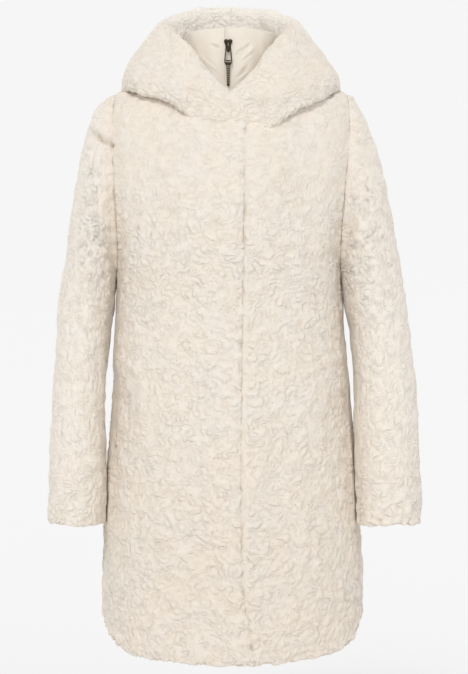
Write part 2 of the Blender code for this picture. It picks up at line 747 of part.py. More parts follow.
def neck_edge(pieces):
    """The inside edge of the trunk's neckline, as azimuth, distance from the neck's middle and height."""
    found = []
    for name, skip in (("front_right", LAP_COLUMNS), ("front_left", 0), ("back", SHOULDER_COLUMNS)):
        piece = pieces[name]
        count = 2 * BACK_NECK_COLUMNS + 1 if name == "back" else NECK_COLUMNS + 1
        outer = piece.points[-1, skip : skip + count]
        inner = outer - FLEECE_WALL * piece.lean[-1, skip : skip + count]
        at = np.linspace(0, count - 1, 12 * count)
        outer, inner = (
            np.stack([np.interp(at, np.arange(count), line[:, k]) for k in range(3)], -1)
            for line in (outer, inner)
        )
        near = np.minimum(np.hypot(outer[:, 0], outer[:, 1]), np.hypot(inner[:, 0], inner[:, 1]))
        found.extend(zip(np.arctan2(inner[:, 0], -inner[:, 1]), near, inner[:, 2]))
    return np.array(sorted(found))


def make_collar(pieces):
    """The stand collar, a band from one side of the zip round the back to the other."""
    turn = np.linspace(0, 1, 2 * COLLAR_COLUMNS_ROUND + 1)
    edges = (ZIP_X - TAPE_HALF - SEAM_GAP, ZIP_X + TAPE_HALF + SEAM_GAP)
    size = COLLAR_TOP
    start, stop = (math.asin(edge / size["half_width"]) for edge in edges)
    angle = start - (2 * math.pi + start - stop) * turn
    toward = np.cos(angle)
    end_z = np.where(toward > 0, size["front_z"], size["back_z"])
    top = np.stack(
        [
            size["half_width"] * np.sin(angle),
            -np.where(toward > 0, size["front"], size["back"]) * toward,
            size["side_z"] + (end_z - size["side_z"]) * toward**2,
        ],
        -1,
    )
    neck = neck_edge(pieces)
    azimuth = np.arctan2(top[:, 0], -top[:, 1])
    near = np.interp(azimuth, neck[:, 0], neck[:, 1], period=2 * math.pi) - COLLAR_CLEAR
    low_z = np.interp(azimuth, neck[:, 0], neck[:, 2], period=2 * math.pi)
    sewn = np.stack([near * np.sin(azimuth), -near * np.cos(azimuth), low_z], -1)
    rings = []
    for height, drawn in COLLAR_ROWS:
        share = np.array([drawn, drawn, height])
        ring = sewn * (1 - share) + top * share
        ring[0, 0], ring[-1, 0] = edges
        rings.append(ring)
    band = Piece(np.array(rings), COLLAR_WALL, flip=-1)
    band.lean[:, [0, -1], 0] = 0
    band.lean /= np.linalg.norm(band.lean, axis=-1, keepdims=True)
    return band


def zip_path(collar):
    """Points down the middle of the zip, on its outside, from the collar's top to near the hem."""
    path = [(point[1], point[2]) for point in (collar.points[:, 0] + collar.points[:, -1])[::-1] / 2]
    path[0] = (path[0][0], path[0][1] - 0.5)
    path.append((-trunk_size("front", path[-1][1] - 22) + TAPE_DEPTH, path[-1][1] - 22))
    for z in np.linspace(NECK_FRONT_Z - 50, HEM_Z + 30, 16):
        path.append((-trunk_size("front", z) + TAPE_DEPTH, z))
    return np.array(path, float)


def make_tape(collar):
    half = TAPE_HALF
    path = zip_path(collar)[::-1]
    points = np.array([[(ZIP_X + x, y, z) for x in (-half, 0, half)] for y, z in path])
    return Piece(points, TAPE_WALL, flip=1)


def material(name, colour, roughness, metallic=0.0):
    made = bpy.data.materials.new(name)
    made.use_nodes = True
    shader = made.node_tree.nodes["Principled BSDF"]
    shader.inputs["Base Color"].default_value = (*colour, 1)
    shader.inputs["Roughness"].default_value = roughness
    shader.inputs["Metallic"].default_value = metallic
    made.diffuse_color = (*colour, 1)
    return made


def add_object(name, mesh, finish, collection):
    thing = bpy.data.objects.new(name, mesh)
    mesh.materials.append(finish)
    collection.objects.link(thing)
    return thing


def add_piece(name, piece, finish, collection):
    outer = piece.points + piece.shift
    inner = outer - piece.wall * piece.lean
    return add_object(name, wall_mesh(name, outer, inner, piece.closed), finish, collection)


def outline_mesh(name, outlines, thickness):
    """A flat plate in the XZ plane, its outer outline first and its holes after it."""
    curve = bpy.data.curves.new(name, "CURVE")
    curve.dimensions = "2D"
    curve.fill_mode = "BOTH"
    curve.extrude = thickness / 2 * MM
    for outline in outlines:
        spline = curve.splines.new("POLY")
        spline.points.add(len(outline) - 1)
        for point, (x, z) in zip(spline.points, outline):
            point.co = (x * MM, z * MM, 0, 1)
        spline.use_cyclic_u = True
    flat = bpy.data.objects.new(name + "_outline", curve)
    bpy.context.scene.collection.objects.link(flat)
    bpy.context.view_layer.update()
    graph = bpy.context.evaluated_depsgraph_get()
    mesh = bpy.data.meshes.new_from_object(flat.evaluated_get(graph))
    bpy.data.objects.remove(flat)
    bpy.data.curves.remove(curve)
    shape = bmesh.new()
    shape.from_mesh(mesh)
    bmesh.ops.remove_doubles(shape, verts=shape.verts, dist=1e-5)
    bmesh.ops.rotate(shape, verts=shape.verts, cent=(0, 0, 0), matrix=upright())
    bmesh.ops.recalc_face_normals(shape, faces=shape.faces)
    shape.to_mesh(mesh)
    shape.free()
    return mesh


def upright():
    """Turns the plane of a flat outline, XY, into XZ."""
    return Matrix.Rotation(math.radians(90), 3, "X")


def join_solid(target, cutter, operation, helpers):
    step = target.modifiers.new(operation.title(), "BOOLEAN")
    step.operation = operation
    step.object = cutter
    cutter.hide_render = True
    cutter.display_type = "WIRE"
    helpers.objects.link(cutter)


def make_slider(place, finish, collection, helpers):
    """The slider's plate with its two shoulders, and the bail standing on it."""
    half, tall = SLIDER_WIDTH / 2, SLIDER_HEIGHT / 2
    outline = [
        (-half * 0.62, -tall),
        (half * 0.62, -tall),
        (half * 0.72, tall * 0.1),
        (half, tall * 0.45),
        (half, tall * 0.85),
        (half * 0.6, tall),
        (half * 0.15, tall * 0.8),
        (-half * 0.15, tall * 0.8),
        (-half * 0.6, tall),
        (-half, tall * 0.85),
        (-half, tall * 0.45),
        (-half * 0.72, tall * 0.1),
    ]
    slider = add_object("zip_slider", outline_mesh("zip_slider", [outline], SLIDER_THICK), finish, collection)
    slider.location = place
    deep, window, sunk = BAIL_DEPTH, BAIL_WINDOW, 1.1
    front = -deep + BAIL_ARM
    bail_outline = [
        (-deep, -BAIL_HEIGHT / 2 + 1.2),
        (-deep + 1.2, -BAIL_HEIGHT / 2),
        (sunk, -BAIL_HEIGHT / 2),
        (sunk, BAIL_HEIGHT / 2),
        (-deep + 1.2, BAIL_HEIGHT / 2),
        (-deep, BAIL_HEIGHT / 2 - 1.2),
    ]
    hole = [
        (front, -window / 2),
        (front + window, -window / 2),
        (front + window, window / 2),
        (front, window / 2),
    ]
    bail_mesh = outline_mesh("bail", [bail_outline, hole], BAIL_WIDTH)
    bail = bpy.data.objects.new("bail", bail_mesh)
    bail.location = (place[0], place[1] - SLIDER_THICK / 2 * MM, place[2] + BAIL_DROP * MM)
    bail.rotation_euler = (0, 0, math.radians(90))
    join_solid(slider, bail, "UNION", helpers)
    return slider


def make_pull(place, finish, collection, helpers):
    """The puller: a square bar through the bail, an open frame, a band and a tapered tail."""
    top, wide, bar = PULL_TOP_HALF, PULL_WIDE_HALF, PULL_BAR / 2
    low = -PULL_FRAME
    outline = [
        (-top, bar),
        (top, bar),
        (wide, low),
        (wide, low - PULL_BAND * 0.6),
        (TAIL_TOP_RADIUS, low - PULL_BAND),
        (-TAIL_TOP_RADIUS, low - PULL_BAND),
        (-wide, low - PULL_BAND * 0.6),
        (-wide, low),
    ]
    inside = [
        (-top + PULL_ARM, -bar),
        (top - PULL_ARM, -bar),
        (wide - PULL_ARM, low + 1.0),
        (-wide + PULL_ARM, low + 1.0),
    ]
    pull = add_object("zip_pull", outline_mesh("zip_pull", [outline, inside], PULL_BAR), finish, collection)
    shape = bmesh.new()
    bmesh.ops.create_cone(
        shape,
        cap_ends=True,
        segments=12,
        radius1=TAIL_END_RADIUS * MM,
        radius2=TAIL_TOP_RADIUS * MM,
        depth=PULL_TAIL * MM,
    )
    drop = PULL_FRAME + PULL_BAND * 0.55 + PULL_TAIL / 2
    bmesh.ops.translate(shape, verts=shape.verts, vec=(0, 0, -drop * MM))
    mesh = bpy.data.meshes.new("tail")
    shape.to_mesh(mesh)
    shape.free()
    tail = bpy.data.objects.new("tail", mesh)
    for thing in (pull, tail):
        thing.location = place
        thing.rotation_euler = (math.radians(-PULL_TILT), 0, 0)
    join_solid(pull, tail, "UNION", helpers)
    return pull


def main():
    for thing in list(bpy.data.objects):
        bpy.data.objects.remove(thing)
    coat = bpy.data.collections.new("faux_fur_coat")
    helpers = bpy.data.collections.new("helpers")
    for collection in (coat, helpers):
        bpy.context.scene.collection.children.link(collection)

    pieces = {
        "front_right": make_front(RIGHT),
        "front_left": make_front(LEFT),
        "back": make_back(),
        "sleeve_right": make_sleeve(RIGHT),
        "sleeve_left": make_sleeve(LEFT),
        "hood_right": make_hood(RIGHT),
        "hood_left": make_hood(LEFT),
    }
    share_seams(list(pieces.values()))
    for name, piece in pieces.items():
        add_piece(name, piece, material(name, FLEECE, 0.95), coat)
    collar = make_collar(pieces)
    add_piece("collar", collar, material("collar", CLOTH, 0.6), coat)
    add_piece("zip_tape", make_tape(collar), material("zip_tape", CLOTH, 0.7), coat)

    path = zip_path(collar)[::-1]
    reach = SLIDER_HEIGHT / 2 + 1
    tape_y = min(np.interp([SLIDER_Z - reach, SLIDER_Z, SLIDER_Z + reach], path[:, 1], path[:, 0]))
    slider_y = tape_y - SLIDER_THICK / 2 - SEAM_GAP
    slider_place = (ZIP_X * MM, slider_y * MM, SLIDER_Z * MM)
    make_slider(slider_place, material("zip_slider", METAL, 0.4, 1.0), coat, helpers)
    window_y = slider_y - SLIDER_THICK / 2 - BAIL_DEPTH + BAIL_ARM + BAIL_WINDOW / 2
    pull_place = (ZIP_X * MM, window_y * MM, (SLIDER_Z + BAIL_DROP) * MM)
    make_pull(pull_place, material("zip_pull", METAL, 0.4, 1.0), coat, helpers)


main()
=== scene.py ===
import json
import math

import bmesh
import bpy
import numpy as np
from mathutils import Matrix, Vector
from mathutils.bvhtree import BVHTree
from mathutils.kdtree import KDTree


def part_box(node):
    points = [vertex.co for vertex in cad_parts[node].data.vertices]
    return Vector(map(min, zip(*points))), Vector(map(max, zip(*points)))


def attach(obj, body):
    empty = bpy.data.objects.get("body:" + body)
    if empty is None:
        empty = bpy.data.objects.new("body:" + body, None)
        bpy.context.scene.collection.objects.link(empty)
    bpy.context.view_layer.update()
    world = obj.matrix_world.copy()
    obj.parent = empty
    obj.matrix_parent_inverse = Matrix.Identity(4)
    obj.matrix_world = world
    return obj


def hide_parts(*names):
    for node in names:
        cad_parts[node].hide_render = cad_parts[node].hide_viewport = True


mm = 0.001

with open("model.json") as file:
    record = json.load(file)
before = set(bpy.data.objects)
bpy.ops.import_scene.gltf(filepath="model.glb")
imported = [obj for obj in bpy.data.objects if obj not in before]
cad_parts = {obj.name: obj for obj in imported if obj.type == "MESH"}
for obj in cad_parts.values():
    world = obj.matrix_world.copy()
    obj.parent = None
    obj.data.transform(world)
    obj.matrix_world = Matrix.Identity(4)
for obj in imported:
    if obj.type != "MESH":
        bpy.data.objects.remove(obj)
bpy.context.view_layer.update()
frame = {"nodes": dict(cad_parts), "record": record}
nodes = frame["nodes"]
print("frame loaded:", ", ".join(sorted(nodes)))


def waveField(points, wavelength, seed, waves=44, spread=0.3):
    # a sum of plane waves near one wavelength, about -2 to 2, with no direction of its own
    rng = np.random.default_rng(seed)
    ways = rng.normal(size=(waves, 3))
    ways /= np.linalg.norm(ways, axis=1)[:, None]
    lengths = wavelength * (1 + spread * rng.uniform(-1, 1, waves))
    ways *= (2 * math.pi / lengths)[:, None]
    phases = rng.uniform(0, 2 * math.pi, waves)
    total = np.zeros(len(points))
    for way, phase in zip(ways, phases):
        total += np.cos(points @ way + phase)
    return total / math.sqrt(waves / 2)


def softStep(low, high, value):
    t = np.clip((value - low) / (high - low), 0, 1)
    return t * t * (3 - 2 * t)


def bell(value, width):
    # 1 where the value is 0, next to nothing beyond twice the width
    return np.exp(-((value / width) ** 2))


def segmentShare(flat, start, end):
    # how far along a line the point beside it is, 0 at one end and 1 at the other
    way = np.subtract(end, start)
    return np.clip(((flat - start) @ way) / (way @ way), 0, 1)


def lineBell(flat, start, end, width):
    # the same bell across a line between two points of a plane
    share = segmentShare(flat, start, end)
    away = np.linalg.norm(flat - start - share[:, None] * np.subtract(end, start), axis=1)
    return bell(away, width)


def readMesh(mesh):
    count = len(mesh.vertices)
    points = np.empty(count * 3, np.float32)
    normals = np.empty(count * 3, np.float32)
    mesh.vertices.foreach_get("co", points)
    mesh.vertex_normals.foreach_get("vector", normals)
    return points.reshape(-1, 3).astype(float), normals.reshape(-1, 3).astype(float)


def writePoints(mesh, points):
    mesh.vertices.foreach_set("co", points.astype(np.float32).ravel())
    mesh.update()


def writeAttribute(mesh, name, values):
    made = mesh.attributes.new(name, "FLOAT", "POINT")
    made.data.foreach_set("value", values.astype(np.float32))


def newObject(name, mesh):
    obj = bpy.data.objects.new(name, mesh)
    bpy.context.scene.collection.objects.link(obj)
    return obj


def solidCopy(node, merge):
    # a CAD solid with its triangles joined at their corners
    bm = bmesh.new()
    bm.from_mesh(nodes[node].data)
    bmesh.ops.remove_doubles(bm, verts=bm.verts, dist=merge)
    return bm


def meshFrom(bm, name):
    mesh = bpy.data.meshes.new(name)
    bm.to_mesh(mesh)
    bm.free()
    return mesh


def plainMesh(obj):
    # the object's evaluated mesh takes the place of its own mesh and modifiers
    graph = bpy.context.evaluated_depsgraph_get()
    mesh = bpy.data.meshes.new_from_object(obj.evaluated_get(graph))
    obj.modifiers.clear()
    obj.data = mesh
    return obj


def shadeSmooth(mesh):
    mesh.polygons.foreach_set("use_smooth", np.ones(len(mesh.polygons), bool))
    mesh.update()


def setFinishes(mesh, finishes, indices=None):
    mesh.materials.clear()
    for finish in finishes:
        mesh.materials.append(finish)
    if indices is None:
        indices = np.zeros(len(mesh.polygons), np.int32)
    mesh.polygons.foreach_set("material_index", indices)


nodeTrees = {
    name: BVHTree.FromPolygons(
        [v.co for v in node.data.vertices], [p.vertices for p in node.data.polygons]
    )
    for name, node in nodes.items()
}


def hemisphere(count):
    # directions spread evenly round +Z, more of them near it
    turns = np.arange(count) * math.pi * (3 - math.sqrt(5))
    height = np.sqrt(1 - (np.arange(count) + 0.5) / count)
    reach = np.sqrt(1 - height**2)
    return [Vector(v) for v in zip(reach * np.cos(turns), reach * np.sin(turns), height)]


openWays = hemisphere(18)


def openness(point, normal):
    # the share of the half space over a face that no piece of the coat shuts off
    turn = normal.to_track_quat("Z", "Y")
    start = point + normal * 0.6 * mm
    free = 0
    for way in openWays:
        turned = turn @ way
        hit = any(tree.ray_cast(start, turned, 1.2)[0] for tree in nodeTrees.values())
        free += not hit
    return free / len(openWays)


cageSettings = {
    "merge": 0.01 * mm,
    "joinAngle": 0.9,  # radians between two triangles of one quad
    "rimAngle": 0.85,  # radians over which an edge is a rim
    "seamGap": 1.6 * mm,  # a rim this near another piece is sewn to it
    "freeCrease": 0.5,  # free rims are rounded, sewn ones stay where they are
    "levels": 2,
    "cuts": 2,
    "openLimit": 0.2,  # faces that see less of the outside stay coarse
}


def nearOther(node, point):
    # True where another piece of the coat lies against this point
    for name, tree in nodeTrees.items():
        if name != node and tree.find_nearest(point, cageSettings["seamGap"])[0] is not None:
            return True
    return False


def denseShell(name, node, cuts=cageSettings["cuts"]):
    # the solid's own form, smoothed, with close small faces where it shows
    bm = solidCopy(node, cageSettings["merge"])
    bmesh.ops.join_triangles(
        bm,
        faces=bm.faces[:],
        angle_face_threshold=cageSettings["joinAngle"],
        angle_shape_threshold=math.pi,
    )
    bm.normal_update()
    crease = bm.edges.layers.float.new("crease_edge")
    rims = {"sewn": [], "free": []}
    for edge in bm.edges:
        if edge.calc_face_angle(0) > cageSettings["rimAngle"]:
            ends = [v.co.copy() for v in edge.verts]
            sewn = nearOther(node, (ends[0] + ends[1]) / 2)
            edge[crease] = 1.0 if sewn else cageSettings["freeCrease"]
            rims["sewn" if sewn else "free"].append(ends)
    for face in bm.faces:
        seen = openness(face.calc_center_median(), face.normal)
        face.material_index = 0 if seen > cageSettings["openLimit"] else 1
    obj = newObject(name, meshFrom(bm, name))
    smooth = obj.modifiers.new("smooth", "SUBSURF")
    smooth.levels = smooth.render_levels = cageSettings["levels"]
    plainMesh(obj)
    if cuts:
        bm = bmesh.new()
        bm.from_mesh(obj.data)
        shown = [e for e in bm.edges if any(f.material_index == 0 for f in e.link_faces)]
        bmesh.ops.subdivide_edges(bm, edges=shown, cuts=cuts, use_grid_fill=True)
        bm.to_mesh(obj.data)
        bm.free()
    shadeSmooth(obj.data)
    return obj, rims


def rimDistance(points, rims, step=2.5 * mm, far=0.05):
    # how far each point is from the nearest of these rims
    if not rims:
        return np.full(len(points), far)
    tree = KDTree(sum(int((b - a).length / step) + 2 for a, b in rims))
    for a, b in rims:
        count = int((b - a).length / step) + 2
        for i in range(count):
            tree.insert(a.lerp(b, i / (count - 1)), 0)
    tree.balance()
    return np.array([tree.find(p)[2] for p in points])


def newMaterial(name):
    made = bpy.data.materials.new(name)
    made.use_nodes = True
    tree = made.node_tree
    return made, tree, tree.nodes["Principled BSDF"], tree.nodes.new("ShaderNodeTexCoord")


def addNode(tree, kind, **settings):
    made = tree.nodes.new(kind)
    for name, value in settings.items():
        setattr(made, name, value)
    return made


def setInputs(node, values):
    for label, value in values.items():
        node.inputs[label].default_value = value


def wire(tree, *pairs):
    for start, end in pairs:
        tree.links.new(start, end)


def joined(tree, socket, value):
    # a number goes on the socket, anything else is linked to it
    if isinstance(value, (int, float)):
        socket.default_value = value
    else:
        tree.links.new(value, socket)


def mathNode(tree, operation, first, second=None):
    made = addNode(tree, "ShaderNodeMath", operation=operation)
    for socket, value in zip(made.inputs, (first, second)):
        if value is not None:
            joined(tree, socket, value)
    return made.outputs[0]


def times(tree, first, second):
    return mathNode(tree, "MULTIPLY", first, second)


def attributeValue(tree, name):
    return addNode(tree, "ShaderNodeAttribute", attribute_name=name).outputs["Fac"]


def noiseValue(tree, place, scale, detail, distortion=0.0):
    made = addNode(tree, "ShaderNodeTexNoise")
    setInputs(made, {"Scale": scale, "Detail": detail, "Distortion": distortion})
    tree.links.new(place.outputs["Object"], made.inputs["Vector"])
    return made.outputs["Fac"]


def stepValue(tree, value, low, high):
    made = addNode(tree, "ShaderNodeMapRange", interpolation_type="SMOOTHSTEP")
    setInputs(made, {"From Min": low, "From Max": high})
    tree.links.new(value, made.inputs["Value"])
    return made.outputs["Result"]


def patchValue(tree, place, patch):
    # soft patches, from a noise's scale and detail and the two heights where they start and end
    scale, detail, low, high = patch
    return stepValue(tree, noiseValue(tree, place, scale, detail), low, high)


def mixColour(tree, factor, first, second, blend="MIX"):
    made = addNode(tree, "ShaderNodeMix", data_type="RGBA", blend_type=blend)
    joined(tree, made.inputs["Factor"], factor)
    for socket, value in ((made.inputs["A"], first), (made.inputs["B"], second)):
        if isinstance(value, tuple):
            socket.default_value = (*value, 1)
        else:
            tree.links.new(value, socket)
    return made.outputs["Result"]


def addBump(tree, height, distance, strength=1.0, below=None):
    made = addNode(tree, "ShaderNodeBump")
    setInputs(made, {"Strength": strength, "Distance": distance})
    tree.links.new(height, made.inputs["Height"])
    if below is not None:
        tree.links.new(below, made.inputs["Normal"])
    return made.outputs["Normal"]


curlSettings = {
    # width in mm from one crease to the next but one, and how much of its creases is kept
    "curlA": {"width": 15.0, "keptWidth": 26.0, "keptFrom": -2.2, "keptTo": 0.4},
    "curlB": {"width": 11.0, "keptWidth": 18.0, "keptFrom": -0.8, "keptTo": 1.0},
    "curlC": {"width": 7.6, "keptWidth": 14.0, "keptFrom": -0.4, "keptTo": 1.4},
    "warp": 1.9,
    "warpWidth": 30.0,
    "kink": 0.5,
    "kinkWidth": 8.0,
    "fullAt": 1.5,  # the field's height at which a puff is full
    "roundness": 0.72,
}

curlShares = {"curlA": 0.75, "curlB": 0.6, "curlC": 0.4}  # how deep each network's creases cut


fleeceLook = {
    # high and low: the lit colour of the curl tops and the painted shade of their creases
    "high": (0.870, 0.806, 0.728),
    "low": (0.835, 0.765, 0.680),
    "paintedLight": (0.925, 0.868, 0.795),  # painted light on the sleeves and the hood's rear rim
    "hem": (0.965, 0.952, 0.935),  # what the colour is multiplied by towards the hem, darker and warmer
    # crease: the colour of the painted shade in creases, pits and seams
    "crease": (0.585, 0.485, 0.375),
    "cool": (0.992, 0.994, 1.0),
    "warm": (1.0, 0.985, 0.962),
    "blotch": (22.0, 3.0, 0.35, 0.65),  # where the cloth is cool and where warm
    "uneven": (95.0, 2.0, 0.38, 0.66),  # where the creases take their painted shade
    # pits and pit: small dark dots of painted shade in the holes between curls
    "pits": (310.0, 1.0, 0.68, 0.74),
    "creaseShadeWidth": 0.16,  # half width of a crease's painted shade, in the curl field's own height
    "creaseShade": 0.40,
    "puffDepth": 1.9 * mm,
    "fibre": (620.0, 4.0, 1.2),
    "fibreDepth": 0.35 * mm,
    "fibreShade": (0.965, 0.96, 0.95),
    "pit": 0.75,
    "surface": {
        "Roughness": 0.9, "Specular IOR Level": 0.15, "Sheen Weight": 0.2, "Sheen Roughness": 0.5,
    },
}


def creaseValue(tree, width):
    # 1 along the creases of all three curl fields, 0 away from them
    total = None
    for name in curlShares:
        scaled = times(tree, attributeValue(tree, name), 1 / width)
        line = mathNode(tree, "EXPONENT", times(tree, times(tree, scaled, scaled), -1))
        line = times(tree, line, attributeValue(tree, name + "Kept"))
        total = line if total is None else mathNode(tree, "MAXIMUM", total, line)
    return total


def puffValue(tree):
    # 1 on the top of a curl, falling steeply into the creases of all three curl fields
    total = None
    for name, share in curlShares.items():
        full = times(tree, attributeValue(tree, name), 1 / curlSettings["fullAt"])
        full = mathNode(tree, "MINIMUM", mathNode(tree, "ABSOLUTE", full), 1.0)
        puff = mathNode(tree, "POWER", full, curlSettings["roundness"])
        gone = times(tree, mathNode(tree, "SUBTRACT", 1.0, puff), attributeValue(tree, name + "Kept"))
        left = mathNode(tree, "SUBTRACT", 1.0, times(tree, gone, share))
        total = left if total is None else times(tree, total, left)
    return total


def fleeceMaterial():
    look = fleeceLook
    made, tree, shader, place = newMaterial("curledFleece")
    # painted shade: the colour darkens from the curl tops into the creases by puff height
    base = mixColour(tree, attributeValue(tree, "puffShade"), look["low"], look["high"])
    cloth = mixColour(tree, patchValue(tree, place, look["blotch"]), look["cool"], look["warm"])
    base = mixColour(tree, 1.0, base, cloth, "MULTIPLY")
    # painted light: a lighter colour where the lift attribute is set
    base = mixColour(tree, attributeValue(tree, "lift"), base, look["paintedLight"])
    # the colour grows darker and warmer towards the hem
    darkerTowardHem = mixColour(tree, 1.0, base, look["hem"], "MULTIPLY")
    base = mixColour(tree, attributeValue(tree, "tone"), base, darkerTowardHem)
    fibre = noiseValue(tree, place, *look["fibre"])
    shade = mixColour(tree, 1.0, base, look["fibreShade"], "MULTIPLY")
    base = mixColour(tree, stepValue(tree, fibre, 0.62, 0.38), base, shade)
    # painted shade along the creases and in small pits
    creaseShade = times(tree, creaseValue(tree, look["creaseShadeWidth"]), patchValue(tree, place, look["uneven"]))
    pits = times(tree, patchValue(tree, place, look["pits"]), attributeValue(tree, "rough"))
    creaseShade, pits = times(tree, creaseShade, look["creaseShade"]), times(tree, pits, look["pit"])
    # all painted shade together: creases, pits, and the shade painted along seams and folds
    deep = mathNode(tree, "MAXIMUM", mathNode(tree, "MAXIMUM", creaseShade, pits), attributeValue(tree, "deep"))
    puffed = addBump(tree, puffValue(tree), look["puffDepth"])
    bump = addBump(tree, fibre, look["fibreDepth"], below=puffed)
    wire(
        tree,
        (mixColour(tree, deep, base, look["crease"]), shader.inputs["Base Color"]),
        (bump, shader.inputs["Normal"]),
    )
    setInputs(shader, look["surface"])
    return made


# crease: the colour of painted shade in the cloth's hollows
clothLooks = {
    "knitBacking": {
        "light": (0.80, 0.74, 0.65), "dark": (0.70, 0.63, 0.53), "crease": (0.70, 0.63, 0.53),
        "scale": 350.0, "depth": 0.3 * mm, "roughness": 0.92, "sheen": 0.0, "ribs": True,
    },
    "brushedCloth": {
        "light": (0.855, 0.790, 0.700), "dark": (0.805, 0.730, 0.630), "crease": (0.62, 0.54, 0.43),
        "scale": 900.0, "depth": 0.2 * mm, "roughness": 0.7, "sheen": 0.3, "ribs": False,
    },
    "wovenTape": {
        "light": (0.78, 0.71, 0.61), "dark": (0.66, 0.58, 0.47), "crease": (0.66, 0.58, 0.47),
        "scale": 420.0, "depth": 0.25 * mm, "roughness": 0.8, "sheen": 0.1, "ribs": True,
    },
}


def clothMaterial(name):
    look = clothLooks[name]
    made, tree, shader, place = newMaterial(name)
    if look["ribs"]:
        yarn = addNode(tree, "ShaderNodeTexWave", bands_direction="Z")
        setInputs(yarn, {"Scale": look["scale"], "Distortion": 1.2, "Detail": 2.0})
        tree.links.new(place.outputs["Object"], yarn.inputs["Vector"])
        weave = yarn.outputs["Fac"]
    else:
        weave = noiseValue(tree, place, look["scale"], 3.0)
    worn = patchValue(tree, place, (40.0, 3.0, 0.3, 0.7))
    colour = mixColour(tree, weave, look["dark"], look["light"])
    colour = mixColour(tree, times(tree, worn, 0.25), colour, look["light"])
    # painted shade in the cloth's hollows and creases
    colour = mixColour(tree, attributeValue(tree, "deep"), colour, look["crease"])
    bump = addBump(tree, weave, look["depth"], 0.4)
    wire(tree, (colour, shader.inputs["Base Color"]), (bump, shader.inputs["Normal"]))
    surface = {"Roughness": look["roughness"], "Specular IOR Level": 0.25, "Sheen Weight": look["sheen"]}
    setInputs(shader, surface)
    return made


metalLooks = {
    "darkMetal": {"bright": (0.10, 0.075, 0.048), "dark": (0.016, 0.012, 0.008), "roughness": 0.42},
    # the bright metal is a painted highlight for the raised beads, ribs and ridge
    "highlightMetal": {"bright": (0.80, 0.72, 0.60), "dark": (0.30, 0.25, 0.18), "roughness": 0.32},
}


def metalMaterial(name):
    look = metalLooks[name]
    made, tree, shader, place = newMaterial(name)
    stain = noiseValue(tree, place, 420.0, 5.0)
    colour = mixColour(tree, stain, look["dark"], look["bright"])
    bump = addBump(tree, stain, 0.15 * mm, 0.5)
    wire(tree, (colour, shader.inputs["Base Color"]), (bump, shader.inputs["Normal"]))
    setInputs(shader, {"Metallic": 0.9, "Roughness": look["roughness"]})
    return made


strandLooks = {
    "sewingThread": {
        "first": (0.66, 0.58, 0.47), "second": (0.80, 0.73, 0.63), "scale": 1500.0,
        "surface": {"Roughness": 0.6},
    },
    "fibreTips": {
        "first": (0.905, 0.850, 0.775), "second": fleeceLook["high"], "scale": 60.0,
        "surface": {"Roughness": 0.95, "Specular IOR Level": 0.1, "Sheen Weight": 0.25},
    },
}


def strandMaterial(name):
    look = strandLooks[name]
    made, tree, shader, place = newMaterial(name)
    uneven = noiseValue(tree, place, look["scale"], 2.0)
    colour = mixColour(tree, uneven, look["first"], look["second"])
    tree.links.new(colour, shader.inputs["Base Color"])
    setInputs(shader, look["surface"])
    return made


fleece = fleeceMaterial()
backing, brushed, woven = (clothMaterial(name) for name in clothLooks)
darkMetal, highlightMetal = (metalMaterial(name) for name in metalLooks)
thread, fibreTip = (strandMaterial(name) for name in strandLooks)
print("materials made")


def curlFields(points, seed, stretch):
    # each crease network as a field that is 0 on its creases, and how much of it is kept
    p = points / mm * np.array(stretch)
    warp = [waveField(p, curlSettings["warpWidth"], seed + i, 24) for i in range(3)]
    kink = [waveField(p, curlSettings["kinkWidth"], seed + 20 + i, 24) for i in range(3)]
    moved = p + curlSettings["warp"] * np.stack(warp, 1) + curlSettings["kink"] * np.stack(kink, 1)
    fields = {}
    for i, name in enumerate(("curlA", "curlB", "curlC")):
        one = curlSettings[name]
        fields[name] = waveField(moved, one["width"], seed + 4 + 2 * i, 60)
        kept = waveField(p, one["keptWidth"], seed + 5 + 2 * i, 40)
        fields[name + "Kept"] = softStep(one["keptFrom"], one["keptTo"], kept)
    return fields


def puffHeight(fields):
    # 0 in a crease to 1 on the top of a curl
    height = 1.0
    for name, share in curlShares.items():
        full = np.clip(np.abs(fields[name]) / curlSettings["fullAt"], 0, 1)
        puff = full ** curlSettings["roundness"]
        height = height * (1 - share * fields[name + "Kept"] * (1 - puff))
    return height


fleeceNodes = (
    "back", "front_right", "front_left", "sleeve_right", "sleeve_left", "hood_right", "hood_left",
)

pileSettings = {
    "body": {"seed": 10, "depth": 1.0, "stretch": (0.85, 0.85, 1.2), "sway": 1.0},
    "sleeve": {"seed": 10, "depth": 0.98, "stretch": (0.85, 0.85, 1.2), "sway": 1.4},
    "hood": {"seed": 110, "depth": 1.0, "stretch": (0.9, 0.9, 1.1), "sway": 1.2},
}

pileRelief = {
    "shoulder": 1.25, "chest": 1.15, "hem": 0.75, "rim": 0.6, "rimWidth": 7.0,
    "swayWidth": 62.0, "lumpWidth": 24.0, "lump": 0.45,
}


def kindOf(node):
    return node.split("_")[0] if node.startswith(("hood", "sleeve")) else "body"


def pileDepth(points):
    # mm of relief: low on the hood and shoulders, strong at the hem
    z = points[:, 2] / mm
    grow = pileRelief["chest"] * softStep(-70, -300, z)
    return pileRelief["shoulder"] + grow + pileRelief["hem"] * softStep(-400, -760, z)


